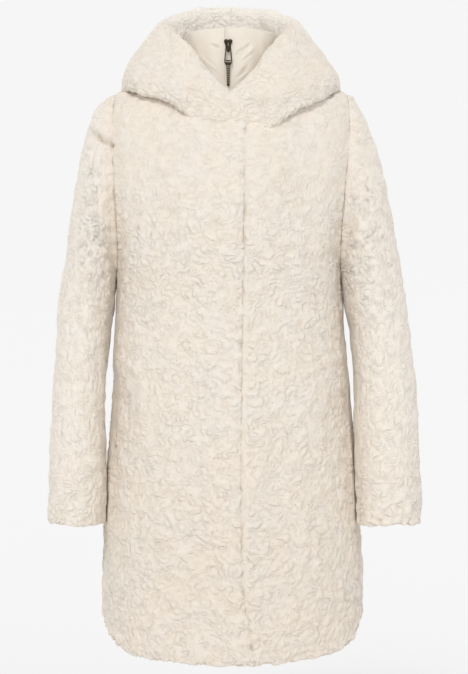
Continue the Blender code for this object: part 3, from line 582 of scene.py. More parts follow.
foldSettings = {
    # (x, z) of both ends in mm, how far the cloth stands out (below 0 is a hollow), half width
    "front": [
        ((-216, -70), (-198, -85), -4.5, 3.6),
        ((-198, -85), (-176, -96), -6.5, 3.2),
        ((-206, -62), (-184, -80), 2.5, 7.0),
        ((-196, -100), (-180, -112), 1.5, 8.0),
        ((-172, -412), (-136, -431), 2.6, 6.5),
        ((-136, -431), (-131, -500), 2.2, 6.0),
        ((-182, -436), (-146, -500), -2.4, 12.0),
        ((-160, -452), (-150, -520), -1.5, 6.0),
        ((-158, -596), (-142, -606), -1.4, 7.0),
        ((104, -441), (164, -410), 2.6, 6.5),
        ((122, -452), (170, -500), -2.4, 12.0),
        ((134, -500), (160, -518), -1.5, 6.0),
        ((128, -596), (144, -592), -1.4, 7.0),
        ((-44, -530), (-46, -676), -0.9, 2.6),
        ((-36, -676), (-30, -840), -1.8, 14.0),
        ((60, -560), (72, -700), -1.0, 16.0),
        ((-95, -620), (-88, -790), 0.9, 18.0),
        ((186, -70), (206, -100), -1.6, 8.0),
        ((-90, -150), (-60, -260), 0.7, 22.0),
        ((80, -180), (110, -300), -0.8, 20.0),
    ],
    "back": [
        ((214, -76), (182, -96), -3.0, 5.0),
        ((-216, -78), (-184, -98), -3.0, 5.0),
        ((-60, -330), (-72, -560), -1.4, 18.0),
        ((70, -380), (60, -640), -1.6, 18.0),
        ((-6, -560), (4, -800), 1.0, 26.0),
        ((-150, -420), (-120, -470), -1.4, 10.0),
        ((120, -450), (156, -420), -1.4, 10.0),
        ((-110, -640), (-104, -800), -1.3, 14.0),
        ((112, -680), (120, -820), -1.2, 14.0),
    ],
}


def foldHeight(points, normals):
    # mm that the folds add, each on the side of the coat that it is on
    flat = points[:, [0, 2]] / mm
    total = np.zeros(len(points))
    for side, facing in (("front", -normals[:, 1]), ("back", normals[:, 1])):
        shown = softStep(0.0, 0.4, facing)
        for start, end, height, width in foldSettings[side]:
            total += height * lineBell(flat, start, end, width) * shown
    return total


shadedCreases = [
    # (x, z) of both ends in mm of the creases with painted brown shade at their bottom, and how strong it
    # is
    ((-214, -72), (-198, -85), 0.5),
    ((-198, -86), (-177, -96), 0.85),
    ((-177, -97), (-176, -118), 0.35),
]


def paintedCreaseShade(points, normals):
    # painted shade along these creases, broken along their length
    flat = points[:, [0, 2]] / mm
    shown = softStep(0.0, 0.4, -normals[:, 1])
    broken = 0.35 + 0.65 * softStep(-0.6, 0.8, waveField(points / mm, 9, 17, 30))
    total = np.zeros(len(points))
    for start, end, share in shadedCreases:
        total += share * lineBell(flat, start, end, 2.6) * shown
    return total * broken


seamSettings = {
    "reach": 7.0,  # mm from a sewn rim in which the cloth is drawn to its neighbour
    "gap": 2.4 * mm,
    "armReach": 18.0,  # the same round the armholes, where the sleeves lie against the body
    "armGap": 10.0 * mm,
    "armOverlap": 0.7 * mm,
    "overlap": 0.12 * mm,
    "valley": 0.8,
    "valleyWidth": 3.2,
    "lap": 0.3,  # share of the valley that the front edge keeps
    "pit": 1.5,
    "pitWidth": 2.4,
    "pitSpacing": 14.0,
}


def boxesMeet(first, second, gap=3 * mm):
    (lowA, highA), (lowB, highB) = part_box(first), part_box(second)
    return all(lowA[i] - gap < highB[i] and lowB[i] - gap < highA[i] for i in range(3))


def wayToNearest(trees, point, reach):
    # the direction and the distance to the nearest of these surfaces, None beyond the reach
    best = None
    for tree in trees:
        found, normal, index, gap = tree.find_nearest(point, reach)
        if found is not None and (best is None or gap < best[1]):
            best = (found, gap)
    if best is None or best[1] < 1e-6:
        return None
    return np.array(best[0] - point) / best[1], best[1]


def closeSeams(points, shift, node, sewn):
    # along a seam nothing draws the cloth away from its neighbour, and each takes half the gap
    hooded = node.startswith("hood")
    near = [name for name in nodeTrees if name != node and boxesMeet(node, name)]
    others = [nodeTrees[name] for name in near if name.startswith("hood") or not hooded]
    s = seamSettings
    arms = softStep(0.13, 0.15, np.abs(points[:, 0])) * softStep(-0.045, -0.10, points[:, 2])
    arms *= not hooded
    widest = s["gap"] + arms * (s["armGap"] - s["gap"])
    reach = s["reach"] + arms * (s["armReach"] - s["reach"])
    for i in np.flatnonzero(sewn < reach):
        nearest = wayToNearest(others, Vector(points[i]), widest[i])
        if nearest is None:
            continue
        way, gap = nearest
        away = min(0.0, float(shift[i] @ way))
        share = 1 - (gap / widest[i]) ** (2 + 2 * arms[i])
        over = s["overlap"] + arms[i] * (s["armOverlap"] - s["overlap"])
        shift[i] += way * (gap * 0.5 + over - away) * share
    return shift


restSettings = {
    # where the sleeves hang beside the body, their facing walls come together
    "top": -268.0, "fade": 30.0, "gap": 13.0 * mm, "left": 0.5 * mm,
    "beside": 0.14,  # no farther in than this, in metres from the middle
    "facing": (0.35, 0.85),  # how far sideways a wall has to face
}


def restSleeves(points, shift, node):
    # each takes half of the gap between the sleeve and the body, less a thin dark line
    s = restSettings
    arm = node.startswith("sleeve")
    others = ["back", "front_right", "front_left"] if arm else ["sleeve_right", "sleeve_left"]
    near = [nodeTrees[name] for name in others if boxesMeet(node, name, s["gap"])]
    share = softStep(s["top"], s["top"] - s["fade"], points[:, 2] / mm)
    for i in np.flatnonzero((np.abs(points[:, 0]) > s["beside"]) & (share > 0)):
        nearest = wayToNearest(near, Vector(points[i]), s["gap"])
        if nearest is None:
            continue
        way, gap = nearest
        part = share[i] * (1 - (gap / s["gap"]) ** 4) * float(softStep(*s["facing"], abs(way[0])))
        shift[i] += way * (gap * 0.5 - s["left"] - 0.6 * float(shift[i] @ way)) * part
    return shift


hoodSettings = {
    "middle": -3.0,  # mm along X where the fold's middle lies on the fronts
    "fullHalf": 44.0,
    "fadeHalf": 90.0,
    "sideShare": 0.5,  # how far the fold's two sides lie down as well
    "sideEnd": 156.0,
    "settleHeight": 52.0,
    "tuck": 3.0,  # mm behind the fronts' surface that its lower edge ends
    "tuckHeight": 9.0,
    "drop": 13.0,  # mm that the edge is drawn down over the fronts' neckline
    "dropHeight": 18.0,
    "cornerDrop": 8.0,  # the same at the fold's two outer corners, on the shoulders
    "cornerHeight": 20.0,
    "neckAt": (0.0, 40.0, 75.0, 160.0),  # mm from the middle
    "neck": (-84.0, -80.0, -52.0, -44.0),  # above this height the fronts are carried on in a line
    "clump": 1.7,
    "clumpHeight": 13.0,
    "seam": 0.15,
}


def firstHit(names, x, z, nearest=-60.0):
    # where a line of sight meets the foremost of these pieces, in mm
    best = None
    for name in names:
        hit = nodeTrees[name].ray_cast(Vector((x * mm, -0.4, z * mm)), Vector((0, 1, 0)), 0.5)[0]
        if hit is not None and hit.y / mm < nearest and (best is None or hit.y / mm < best):
            best = hit.y / mm
    return best


def depthTable(names, columns, rows):
    # the depth of the foremost surface on a grid, gaps filled from the row beside them
    table = np.full((len(rows), len(columns)), np.nan)
    for k, x in enumerate(columns):
        for i, z in enumerate(rows):
            hit = firstHit(names, x, z)
            if hit is not None:
                table[i, k] = hit
        seen = np.flatnonzero(~np.isnan(table[:, k]))
        if len(seen):
            table[:, k] = np.interp(rows, rows[seen], table[seen, k])
    known = ~np.isnan(table[0])
    for i in range(len(rows)):
        table[i] = np.interp(columns, columns[known], table[i, known])
    for _ in range(3):
        wide = np.pad(table, ((0, 0), (1, 1)), "edge")
        table = (wide[:, :-2] + 2 * wide[:, 1:-1] + wide[:, 2:]) / 4
    return table


def tableValue(table, columns, rows, x, z):
    k = np.clip((x - columns[0]) / (columns[1] - columns[0]), 0, len(columns) - 1.001)
    i = np.clip((z - rows[0]) / (rows[1] - rows[0]), 0, len(rows) - 1.001)
    k0, i0 = k.astype(int), i.astype(int)
    k, i = k - k0, i - i0
    low = table[i0, k0] * (1 - k) + table[i0, k0 + 1] * k
    high = table[i0 + 1, k0] * (1 - k) + table[i0 + 1, k0 + 1] * k
    return low * (1 - i) + high * i


hoodColumns = np.arange(-160, 161, 4.0)
hoodRows = np.arange(-72, 49, 3.0)
frontRows = np.arange(-120, 13, 3.0)
hoodDepths = depthTable(("hood_right", "hood_left"), hoodColumns, hoodRows)
frontDepths = depthTable(("front_right", "front_left"), hoodColumns, frontRows)


def frontSurface(x, z):
    # the fronts' depth in mm, carried on in a straight line above their neckline
    neck = np.interp(np.abs(x), hoodSettings["neckAt"], hoodSettings["neck"])
    at = tableValue(frontDepths, hoodColumns, frontRows, x, np.minimum(z, neck))
    below = tableValue(frontDepths, hoodColumns, frontRows, x, neck - 14)
    return at + np.maximum(z - neck, 0) * (at - below) / 14


def foldEdge(points):
    # the height of the fold's lower edge at each x of the front
    front = points[points[:, 1] < 10 * mm]
    columns = np.arange(-165, 166, 6.0)
    heights = []
    for x in columns:
        near = front[np.abs(front[:, 0] / mm - x) < 5]
        heights.append(near[:, 2].min() / mm if len(near) else np.nan)
    heights = np.array(heights)
    good = ~np.isnan(heights)
    return columns[good], heights[good]


hoodEdge = foldEdge(
    np.concatenate([readMesh(nodes[name].data)[0] for name in ("hood_right", "hood_left")])
)


def settleHood(points):
    # the fold's middle lies down on the fronts and runs into them without an edge
    s = hoodSettings
    p = points / mm
    edge = np.interp(p[:, 0], *foldEdge(points))
    aside = np.abs(p[:, 0] - s["middle"])
    middle = (1 - softStep(s["fullHalf"], s["fadeHalf"], aside)) * (p[:, 1] < -60)
    side = s["sideShare"] * (1 - softStep(s["sideEnd"] - 50, s["sideEnd"], aside)) * (p[:, 1] < -60)
    across = np.maximum(middle, side)
    above = np.maximum(p[:, 2] - edge, 0)
    down = 1 - softStep(0, s["settleHeight"], above)
    moved = p.copy()
    moved[:, 2] -= s["drop"] * middle * bell(above, s["dropHeight"])
    corner = softStep(95, 130, aside) * softStep(60, 20, p[:, 1])
    moved[:, 2] -= s["cornerDrop"] * corner * bell(above, s["cornerHeight"])
    own = tableValue(hoodDepths, hoodColumns, hoodRows, p[:, 0], p[:, 2])
    tuck = s["tuck"] * middle * bell(above, s["tuckHeight"])
    gap = np.maximum(frontSurface(p[:, 0], moved[:, 2]) + tuck - own, 0)
    moved[:, 1] += across * down * gap
    return moved * mm, edge, middle * down


lapSettings = {
    "raise": 6.6,  # mm that the cloth beside the front edge comes up to it
    "raiseWidth": 64.0,
    "lower": 2.3,
    "lowerWidth": 11.0,
}


def lapEdgeTable():
    # how far across the right front reaches over the left one, at each height
    rows = np.arange(-858, -68, 12.0)
    edges = []
    for z in rows:
        x = 40.0
        while x > 0 and firstHit(("front_right",), x, z) is None:
            x -= 0.5
        edges.append(x)
    return rows, np.array(edges)


lapRows, lapEdges = lapEdgeTable()


def lapShift(node, points):
    # mm that the two fronts come together along the front edge
    p = points / mm
    shift = np.zeros(len(points))
    shown = (p[:, 1] < -70) * softStep(-60, -85, p[:, 2])
    reach = p[:, 0] - np.interp(p[:, 2], lapRows, lapEdges)
    if node == "front_left":
        near = softStep(-4.5, -1.0, reach) * (1 - softStep(3, lapSettings["raiseWidth"], reach))
        shift -= lapSettings["raise"] * near * shown
    if node == "front_right":
        shift += lapSettings["lower"] * softStep(-lapSettings["lowerWidth"], -0.5, reach) * shown
    return shift * mm


shoulderSettings = {"lift": 9.5, "middle": 170.0, "width": 15.0, "low": -78.0, "high": -34.0}


def liftShoulder(points):
    # the sleeve heads and the shoulders meet in one line, without a notch
    s = shoulderSettings
    p = points / mm
    lift = s["lift"] * bell(np.abs(p[:, 0]) - s["middle"], s["width"])
    moved = points.copy()
    moved[:, 2] += lift * softStep(s["low"], s["high"], p[:, 2]) * mm
    return moved


def innerSide(node, points, normals):
    # True on the walls that face the wearer
    if node.startswith("sleeve"):
        levels = np.linspace(points[:, 2].min(), points[:, 2].max(), 24)
        middles = []
        for level in levels:
            near = points[np.abs(points[:, 2] - level) < 22 * mm]
            middles.append([(near[:, k].min() + near[:, k].max()) / 2 for k in (0, 1)])
        middles = np.array(middles)
        middle = np.stack([np.interp(points[:, 2], levels, middles[:, k]) for k in (0, 1)], 1)
    else:
        middle = np.zeros((len(points), 2))
    out = points[:, :2] - middle
    return np.einsum("ij,ij->i", out, normals[:, :2]) < 0


def seamRelief(p, sewn, hooded):
    # mm that a seam is drawn in, how evenly, and its deeper pits
    s = seamSettings
    broken = 0.3 + 0.7 * softStep(-0.8, 0.9, waveField(p, 18, 7, 30))
    if hooded:
        return s["valley"] * hoodSettings["seam"] * broken * bell(sewn, s["valleyWidth"]), broken, 0 * sewn
    drawn = np.where(np.abs(p[:, 0]) < 60, s["lap"], softStep(-100, -150, p[:, 2]))
    valley = s["valley"] * drawn * broken * bell(sewn, s["valleyWidth"])
    pitted = softStep(0.7, 1.5, waveField(p, s["pitSpacing"], 8, 40))
    pits = s["pit"] * pitted * bell(sewn, s["pitWidth"]) * softStep(-90, -125, p[:, 2])
    return valley, broken, pits


def seamShade(p, rims, broken):
    # painted shade: brown along the armholes and, in dots, along the front edge
    x, z = np.abs(p[:, 0]), p[:, 2]
    arm = softStep(140, 155, x) * softStep(-92, -130, z) * softStep(-420, -300, z)
    reach = p[:, 0] - np.interp(z, lapRows, lapEdges)
    dots = softStep(0.7, 1.3, waveField(np.stack([z * 0, z * 0, z], 1), 21.0, 19, 24, 0.6))
    front = softStep(-100, -130, z) * (p[:, 1] < -70)
    line = 0.75 * dots * bell(reach, 1.9) + 0.16 * bell(reach, 1.5)
    return front * line + 0.30 * arm * broken * bell(rims, 4)


def foldShadow(p, over, settled):
    # painted shadow: brown clumps under the hood's fold, over mm above its edge
    speckled = softStep(0.1, 1.1, waveField(p, 10.0, 9, 40))
    aside = np.abs(p[:, 0] - hoodSettings["middle"])
    band = softStep(58, 80, aside) * softStep(152, 138, aside) * softStep(-50, -80, p[:, 1])
    return 0.85 * speckled * band * bell(over, 3.4) * (1 - settled)


def finishFleece(mesh, inner, sewn):
    # the backing shows inside, and fibres grow on the outside where it is seen
    count = len(mesh.polygons)
    loops, hidden = np.empty(count, np.int32), np.empty(count, np.int32)
    corners = np.empty(len(mesh.loops), np.int32)
    mesh.polygons.foreach_get("loop_start", loops)
    mesh.polygons.foreach_get("material_index", hidden)
    mesh.loops.foreach_get("vertex_index", corners)
    fluff = np.zeros(len(inner))
    fluff[corners[loops[hidden == 0]]] = 1.0
    writeAttribute(mesh, "fluff", fluff * (~inner) * softStep(0, 3, sewn))
    setFinishes(mesh, (fleece, backing), inner[corners[loops]].astype(np.int32))


def fleecePiece(node):
    kind = kindOf(node)
    settings = pileSettings[kind]
    hooded = kind == "hood"
    name = "fleece_" + node
    obj, rims = denseShell(name, node)
    mesh = obj.data
    rest = readMesh(mesh)[0]
    free, sewn = (rimDistance(rest, rims[edge]) / mm for edge in ("free", "sewn"))
    clump, settled = np.zeros(len(rest)), np.zeros(len(rest))
    if hooded:
        points, edge, settled = settleHood(rest)
        over = rest[:, 2] / mm - edge
        clump = bell(over, hoodSettings["clumpHeight"]) * softStep(30, -20, rest[:, 1] / mm) * (1 - settled)
    else:
        points = liftShoulder(rest)
        points[:, 1] += lapShift(node, rest)
    writePoints(mesh, points)
    normals = readMesh(mesh)[1]
    p = points / mm
    z = p[:, 2]
    fields = curlFields(points, settings["seed"], settings["stretch"])
    height = puffHeight(fields)
    rim = 1 + pileRelief["rim"] * bell(free, pileRelief["rimWidth"])
    depth = pileDepth(points) * settings["depth"] * rim + clump * hoodSettings["clump"]
    sway = waveField(p * np.array((1, 1, 1.3)), pileRelief["swayWidth"], 31, 30)
    lump = waveField(p, pileRelief["lumpWidth"], 37, 40)
    soft = (settings["sway"] * 0.5 * sway + pileRelief["lump"] * lump) * softStep(0, 9, sewn)
    valley, broken, pits = seamRelief(p, sewn, hooded)
    if not hooded:
        soft += foldHeight(points, normals)
    shift = normals * ((height - height.mean()) * depth + soft - valley - pits)[:, None] * mm
    shift = closeSeams(rest if hooded else points, shift, node, sewn)
    # painted shade in the seams' pits and valleys
    deep = 0.45 * pits + 0.12 * valley
    if hooded:
        # painted light on the hood's rear rim, which lies in shade inside the hood
        lift = softStep(40, 75, z) * softStep(-30, 30, p[:, 1])
        inner = np.zeros(len(points), bool)
    else:
        shift = restSleeves(points, shift, node)
        # painted light on the sleeves, fading in away from their seams
        lift = softStep(0, 50, sewn) * (0.4 if kind == "sleeve" else 0.0)
        inner = innerSide(node, rest, normals)
        over = (z - np.interp(p[:, 0], *hoodEdge)) / 1.5
        # painted shade in the shoulder creases, along the armholes and along the front edge
        deep += paintedCreaseShade(points, normals) + seamShade(p, np.minimum(sewn, free), broken)
    writePoints(mesh, points + shift)
    strength = np.clip(0.5 + 0.5 * softStep(1.1, 2.7, depth), 0, 1)
    values = {one: field * (strength if one.endswith("Kept") else 1) for one, field in fields.items()}
    # the puff height paints shade into the creases, lift paints light, tone darkens and warms the colour
    # towards the hem
    values |= {"puffShade": height, "lift": lift, "tone": softStep(-380, -780, z), "rough": strength}
    # painted shadow under the hood's fold
    values["deep"] = np.clip(deep + foldShadow(p, over, settled), 0, 0.8)
    for field, value in values.items():
        writeAttribute(mesh, field, value)
    finishFleece(mesh, inner, sewn)
    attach(obj, "coat")
    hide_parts(node)
    print(name, len(mesh.polygons), "faces")
    return obj


fleecePieces = {node: fleecePiece(node) for node in fleeceNodes}


tuftSettings = {
    # fibres to a square metre of visible cloth, their length and width, and how far they lean
    "hood": {"density": 68000.0, "length": 3.3 * mm, "width": 0.46 * mm, "lean": 1.5},
    "sleeve": {"density": 40000.0, "length": 2.9 * mm, "width": 0.44 * mm, "lean": 1.5},
    "body": {"density": 22000.0, "length": 2.8 * mm, "width": 0.44 * mm, "lean": 1.5},
}


def groupTree(name, source, numbers, whole=()):
    # a node tree with one geometry, named numbers and a finish going in, and a geometry going out
    tree = bpy.data.node_groups.new(name, "GeometryNodeTree")
    kinds = [(source, "Geometry")] + [(label, "Float") for label in numbers]
    kinds += [(label, "Int") for label in whole] + [("Finish", "Material")]
    for label, kind in kinds:
        tree.interface.new_socket(label, in_out="INPUT", socket_type="NodeSocket" + kind)
    tree.interface.new_socket("Geometry", in_out="OUTPUT", socket_type="NodeSocketGeometry")
    return tree, addNode(tree, "NodeGroupInput").outputs


def closeTree(tree, given, shapes):
    # the placed shapes become one real mesh with its finish
    real = addNode(tree, "GeometryNodeRealizeInstances")
    finish = addNode(tree, "GeometryNodeSetMaterial")
    made = addNode(tree, "NodeGroupOutput")
    wire(
        tree,
        (shapes, real.inputs["Geometry"]),
        (real.outputs["Geometry"], finish.inputs["Geometry"]),
        (given["Finish"], finish.inputs["Material"]),
        (finish.outputs["Geometry"], made.inputs["Geometry"]),
    )
    return tree


def runTree(obj, tree, given):
    # what the tree makes with these named inputs takes the place of the object's mesh
    field = obj.modifiers.new("field", "NODES")
    field.node_group = tree
    for item in tree.interface.items_tree:
        if item.in_out == "INPUT" and item.name in given:
            field[item.identifier] = given[item.name]
    return plainMesh(obj)


def tuftTree():
    # a node tree that strews small leaning spikes of fibre over a surface
    tree, given = groupTree("tuftField", "Surface", ("Density", "Length", "Width", "Lean"), ("Seed",))
    fluff = addNode(tree, "GeometryNodeInputNamedAttribute", data_type="FLOAT")
    fluff.inputs["Name"].default_value = "fluff"
    strew = addNode(tree, "GeometryNodeDistributePointsOnFaces")
    spike = addNode(tree, "GeometryNodeMeshCone", fill_type="NGON")
    setInputs(spike, {"Vertices": 3, "Radius Top": 0})
    lean = addNode(tree, "FunctionNodeRandomValue", data_type="FLOAT_VECTOR")
    size = addNode(tree, "FunctionNodeRandomValue", data_type="FLOAT")
    setInputs(size, {2: 0.55, 3: 1.25})
    turned = addNode(tree, "FunctionNodeRotateRotation", rotation_space="LOCAL")
    place = addNode(tree, "GeometryNodeInstanceOnPoints")
    back = times(tree, given["Lean"], -1.0)
    for label, side, turn in (("Min", back, 0), ("Max", given["Lean"], 2 * math.pi)):
        corner = addNode(tree, "ShaderNodeCombineXYZ")
        corner.inputs[2].default_value = turn
        wire(tree, (side, corner.inputs[0]), (side, corner.inputs[1]))
        tree.links.new(corner.outputs[0], lean.inputs[label])
    wire(
        tree,
        (given["Surface"], strew.inputs["Mesh"]),
        (times(tree, given["Density"], fluff.outputs["Attribute"]), strew.inputs["Density"]),
        (given["Seed"], strew.inputs["Seed"]),
        (given["Seed"], lean.inputs["Seed"]),
        (given["Seed"], size.inputs["Seed"]),
        (times(tree, given["Width"], 0.5), spike.inputs["Radius Bottom"]),
        (given["Length"], spike.inputs["Depth"]),
        (strew.outputs["Rotation"], turned.inputs["Rotation"]),
        (lean.outputs["Value"], turned.inputs["Rotate By"]),
        (strew.outputs["Points"], place.inputs["Points"]),
        (spike.outputs["Mesh"], place.inputs["Instance"]),
        (turned.outputs["Rotation"], place.inputs["Rotation"]),
        (size.outputs[1], place.inputs["Scale"]),
    )
    return closeTree(tree, given, place.outputs["Instances"])


tuftField = tuftTree()


def tuftPiece(node, seed):
    given = {label.capitalize(): value for label, value in tuftSettings[kindOf(node)].items()}
    given["Density"] *= 1.0
    given["Seed"] = seed
    given["Finish"] = fibreTip
    obj = newObject("tufts_" + node, fleecePieces[node].data.copy())
    runTree(obj, tuftField, given)
    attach(obj, "coat")
    print(obj.name, len(obj.data.polygons), "faces")


for index, node in enumerate(fleeceNodes):
    tuftPiece(node, 3 + index)


collarFolds = [
    # (x, z) of both ends in mm, height (below 0 is a hollow), half width
    ((-31, 53), (-16, 47), -2.2, 1.5),
    ((-31, 57), (-18, 51), 1.0, 2.4),
    ((30, 54), (19, 46), -3.0, 1.6),
    ((19, 46), (7, 36), -2.8, 1.7),
    ((36, 50), (14, 28), 2.6, 2.6),
    ((34, 38), (10, 12), 1.9, 2.2),
    ((31, 33), (14, 17), -1.8, 1.4),
    ((25, 16), (8, 2), -2.6, 1.5),
    ((27, 12), (9, -3), 1.2, 1.6),
    ((28, 24), (12, 8), -1.2, 1.5),
    ((-50, 40), (-22, 12), 1.0, 3.4),
    ((-40, 34), (-18, 14), -0.9, 1.8),
    ((-36, 24), (-14, 2), -1.0, 2.2),
    ((48, 60), (56, 40), -0.9, 2.8),
]


collarClosing = {"half": 6.3, "over": 7.1, "fade": 8.0, "rise": 1.8}


def closeCollar(points):
    # the collar's two ends come together over the tape
    c = collarClosing
    low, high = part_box("zip_tape")
    middle = (low[0] + high[0]) / 2 / mm
    p = points / mm
    side = np.sign(p[:, 0] - middle)
    reach = np.maximum(np.abs(p[:, 0] - middle) - c["half"], 0)
    weight = bell(reach, c["fade"]) * (p[:, 1] < -30) * (reach < 3 * c["fade"])
    p[:, 0] -= side * c["over"] * weight
    p[:, 1] -= c["rise"] * weight
    return p * mm


def collarPiece():
    obj, rims = denseShell("collar_cloth", "collar", 3)
    mesh = obj.data
    points = closeCollar(readMesh(mesh)[0])
    writePoints(mesh, points)
    normals = readMesh(mesh)[1]
    flat = points[:, [0, 2]] / mm
    shown = softStep(0.1, 0.6, -normals[:, 1])
    height = np.zeros(len(points))
    for start, end, rise, width in collarFolds:
        fade = np.sin(math.pi * np.clip(segmentShare(flat, start, end), 0.02, 0.98)) ** 0.8
        height += rise * fade * lineBell(flat, start, end, width) * shown
    height += 0.35 * waveField(points / mm * np.array((1, 1, 0.7)), 26, 51, 30)
    height *= softStep(0, 6, rimDistance(points, rims["free"]) / mm)
    writePoints(mesh, points + normals * height[:, None] * mm)
    # painted shade in the collar's wrinkle hollows
    writeAttribute(mesh, "deep", softStep(0.25, 2.2, -height) * 0.6)
    setFinishes(mesh, (brushed,))
    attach(obj, "coat")
    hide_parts("collar")
    print("collar_cloth", len(mesh.polygons), "faces")


collarPiece()


def repeatTree(name, shape):
    # a node tree that puts one small shape again and again along a path
    tree, given = groupTree(name, "Path", ("Spacing", "Width", "Length", "End Scale"))
    half = times(tree, given["Width"], 0.5)
    if shape == "stitch":
        solid = addNode(tree, "GeometryNodeMeshCylinder")
        solid.inputs["Vertices"].default_value = 6
        wire(tree, (half, solid.inputs["Radius"]), (given["Length"], solid.inputs["Depth"]))
    elif shape == "tooth":
        solid = addNode(tree, "GeometryNodeMeshCube")
        size = addNode(tree, "ShaderNodeCombineXYZ")
        for i, label in enumerate(("Width", "Length", "Length")):
            tree.links.new(given[label], size.inputs[i])
        tree.links.new(size.outputs[0], solid.inputs["Size"])
    elif shape == "bead":
        solid = addNode(tree, "GeometryNodeMeshUVSphere")
        setInputs(solid, {"Segments": 8, "Rings": 6})
        tree.links.new(half, solid.inputs["Radius"])
    else:
        solid = addNode(tree, "GeometryNodeCurveToMesh")
        sides = (("Curve", 14, half), ("Profile Curve", 6, times(tree, given["Length"], 0.5)))
        for label, count, radius in sides:
            circle = addNode(tree, "GeometryNodeCurvePrimitiveCircle")
            circle.inputs["Resolution"].default_value = count
            wire(tree, (radius, circle.inputs["Radius"]), (circle.outputs["Curve"], solid.inputs[label]))
    curve = addNode(tree, "GeometryNodeMeshToCurve")
    points = addNode(tree, "GeometryNodeCurveToPoints", mode="LENGTH")
    smooth = addNode(tree, "GeometryNodeSetShadeSmooth")
    smooth.inputs["Shade Smooth"].default_value = shape != "tooth"
    place = addNode(tree, "GeometryNodeInstanceOnPoints")
    count = addNode(tree, "GeometryNodeAttributeDomainSize", component="POINTCLOUD")
    index = addNode(tree, "GeometryNodeInputIndex").outputs["Index"]
    along = mathNode(tree, "DIVIDE", index, count.outputs["Point Count"])
    change = mathNode(tree, "SUBTRACT", given["End Scale"], 1.0)
    wire(
        tree,
        (given["Path"], curve.inputs["Mesh"]),
        (curve.outputs["Curve"], points.inputs["Curve"]),
        (given["Spacing"], points.inputs["Length"]),
        (points.outputs["Points"], place.inputs["Points"]),
        (points.outputs["Points"], count.inputs["Geometry"]),
        (solid.outputs["Mesh"], smooth.inputs["Geometry"]),
        (smooth.outputs["Geometry"], place.inputs["Instance"]),
        (mathNode(tree, "ADD", times(tree, along, change), 1.0), place.inputs["Scale"]),
    )
    if shape != "tooth":
        tree.links.new(points.outputs["Rotation"], place.inputs["Rotation"])
    return closeTree(tree, given, place.outputs["Instances"])


repeatTrees = {shape: repeatTree(shape + "Row", shape) for shape in ("stitch", "tooth", "bead", "ring")}


def repeatAlong(name, shape, paths, sizes, finish):
    # paths are lists of points in metres, and the result is one plain mesh
    points, edges = [], []
    for path in paths:
        first = len(points)
        points += [tuple(p) for p in path]
        edges += [(first + i, first + i + 1) for i in range(len(path) - 1)]
    mesh = bpy.data.meshes.new(name)
    mesh.from_pydata(points, edges, [])
    return runTree(newObject(name, mesh), repeatTrees[shape], {"Finish": finish, **sizes})


def rowSizes(spacing, width, length, endScale=1.0):
    return {"Spacing": spacing, "Width": width, "Length": length, "End Scale": endScale}


def joinInto(target, others, finishes):
    # the other objects' meshes become part of the target's, with one list of finishes
    bm = bmesh.new()
    for obj, index in [(target, 0)] + others:
        first = len(bm.faces)
        bm.from_mesh(obj.data)
        bm.faces.ensure_lookup_table()
        for face in bm.faces[first:]:
            face.material_index = index
    setFinishes(target.data, finishes)
    bm.to_mesh(target.data)
    bm.free()
    for obj, index in others:
        bpy.data.objects.remove(obj)
    target.data.update()


def bevelledCopy(name, node, width):
    # the solid with its hard edges broken
    bm = solidCopy(node, zipSettings["merge"])
    bmesh.ops.dissolve_limit(bm, angle_limit=0.02, verts=bm.verts, edges=bm.edges)
    obj = newObject(name, meshFrom(bm, name))
    edge = obj.modifiers.new("edge", "BEVEL")
    edge.width = width
    edge.segments = 2
    edge.limit_method = "ANGLE"
    edge.angle_limit = math.radians(40)
    edge.use_clamp_overlap = True
    plainMesh(obj)
    shadeSmooth(obj.data)
    return obj


def smallBall(name, centre, size, segments=14, rings=10):
    # a sphere stretched to a size of three half axes
    bm = bmesh.new()
    bmesh.ops.create_uvsphere(bm, u_segments=segments, v_segments=rings, radius=1)
    for vert in bm.verts:
        vert.co = Vector([centre[i] + vert.co[i] * size[i] for i in range(3)])
    mesh = meshFrom(bm, name)
    shadeSmooth(mesh)
    return newObject(name, mesh)


zipSettings = {
    "merge": 0.005 * mm,
    "pivot": frame["record"]["behaviour"]["joints"][0]["pos_m"],
    "tilt": math.radians(-4.5),
    "toothSpacing": 2.4 * mm,
    "toothWidth": 2.5 * mm,
    "toothDepth": 1.3 * mm,
    "lobe": (3.5 * mm, 2.4 * mm, 3.0 * mm),
    "beadSpacing": 1.75 * mm,
    "bead": 1.15 * mm,
    "ribSpacing": 2.6 * mm,
    "rib": 1.15 * mm,
    "tailTop": 26.0 * mm,
    "tailEnd": 52.5 * mm,
    "tailWidth": 5.9 * mm,
    "tailTaper": 0.66,
}


def pullPoint(x, y, down):
    # a point of the puller, from its pivot, in the coat's frame
    px, py, pz = zipSettings["pivot"]
    tilt = zipSettings["tilt"]
    return Vector((
        px + x,
        py + y * math.cos(tilt) + down * math.sin(tilt),
        pz + y * math.sin(tilt) - down * math.cos(tilt),
    ))


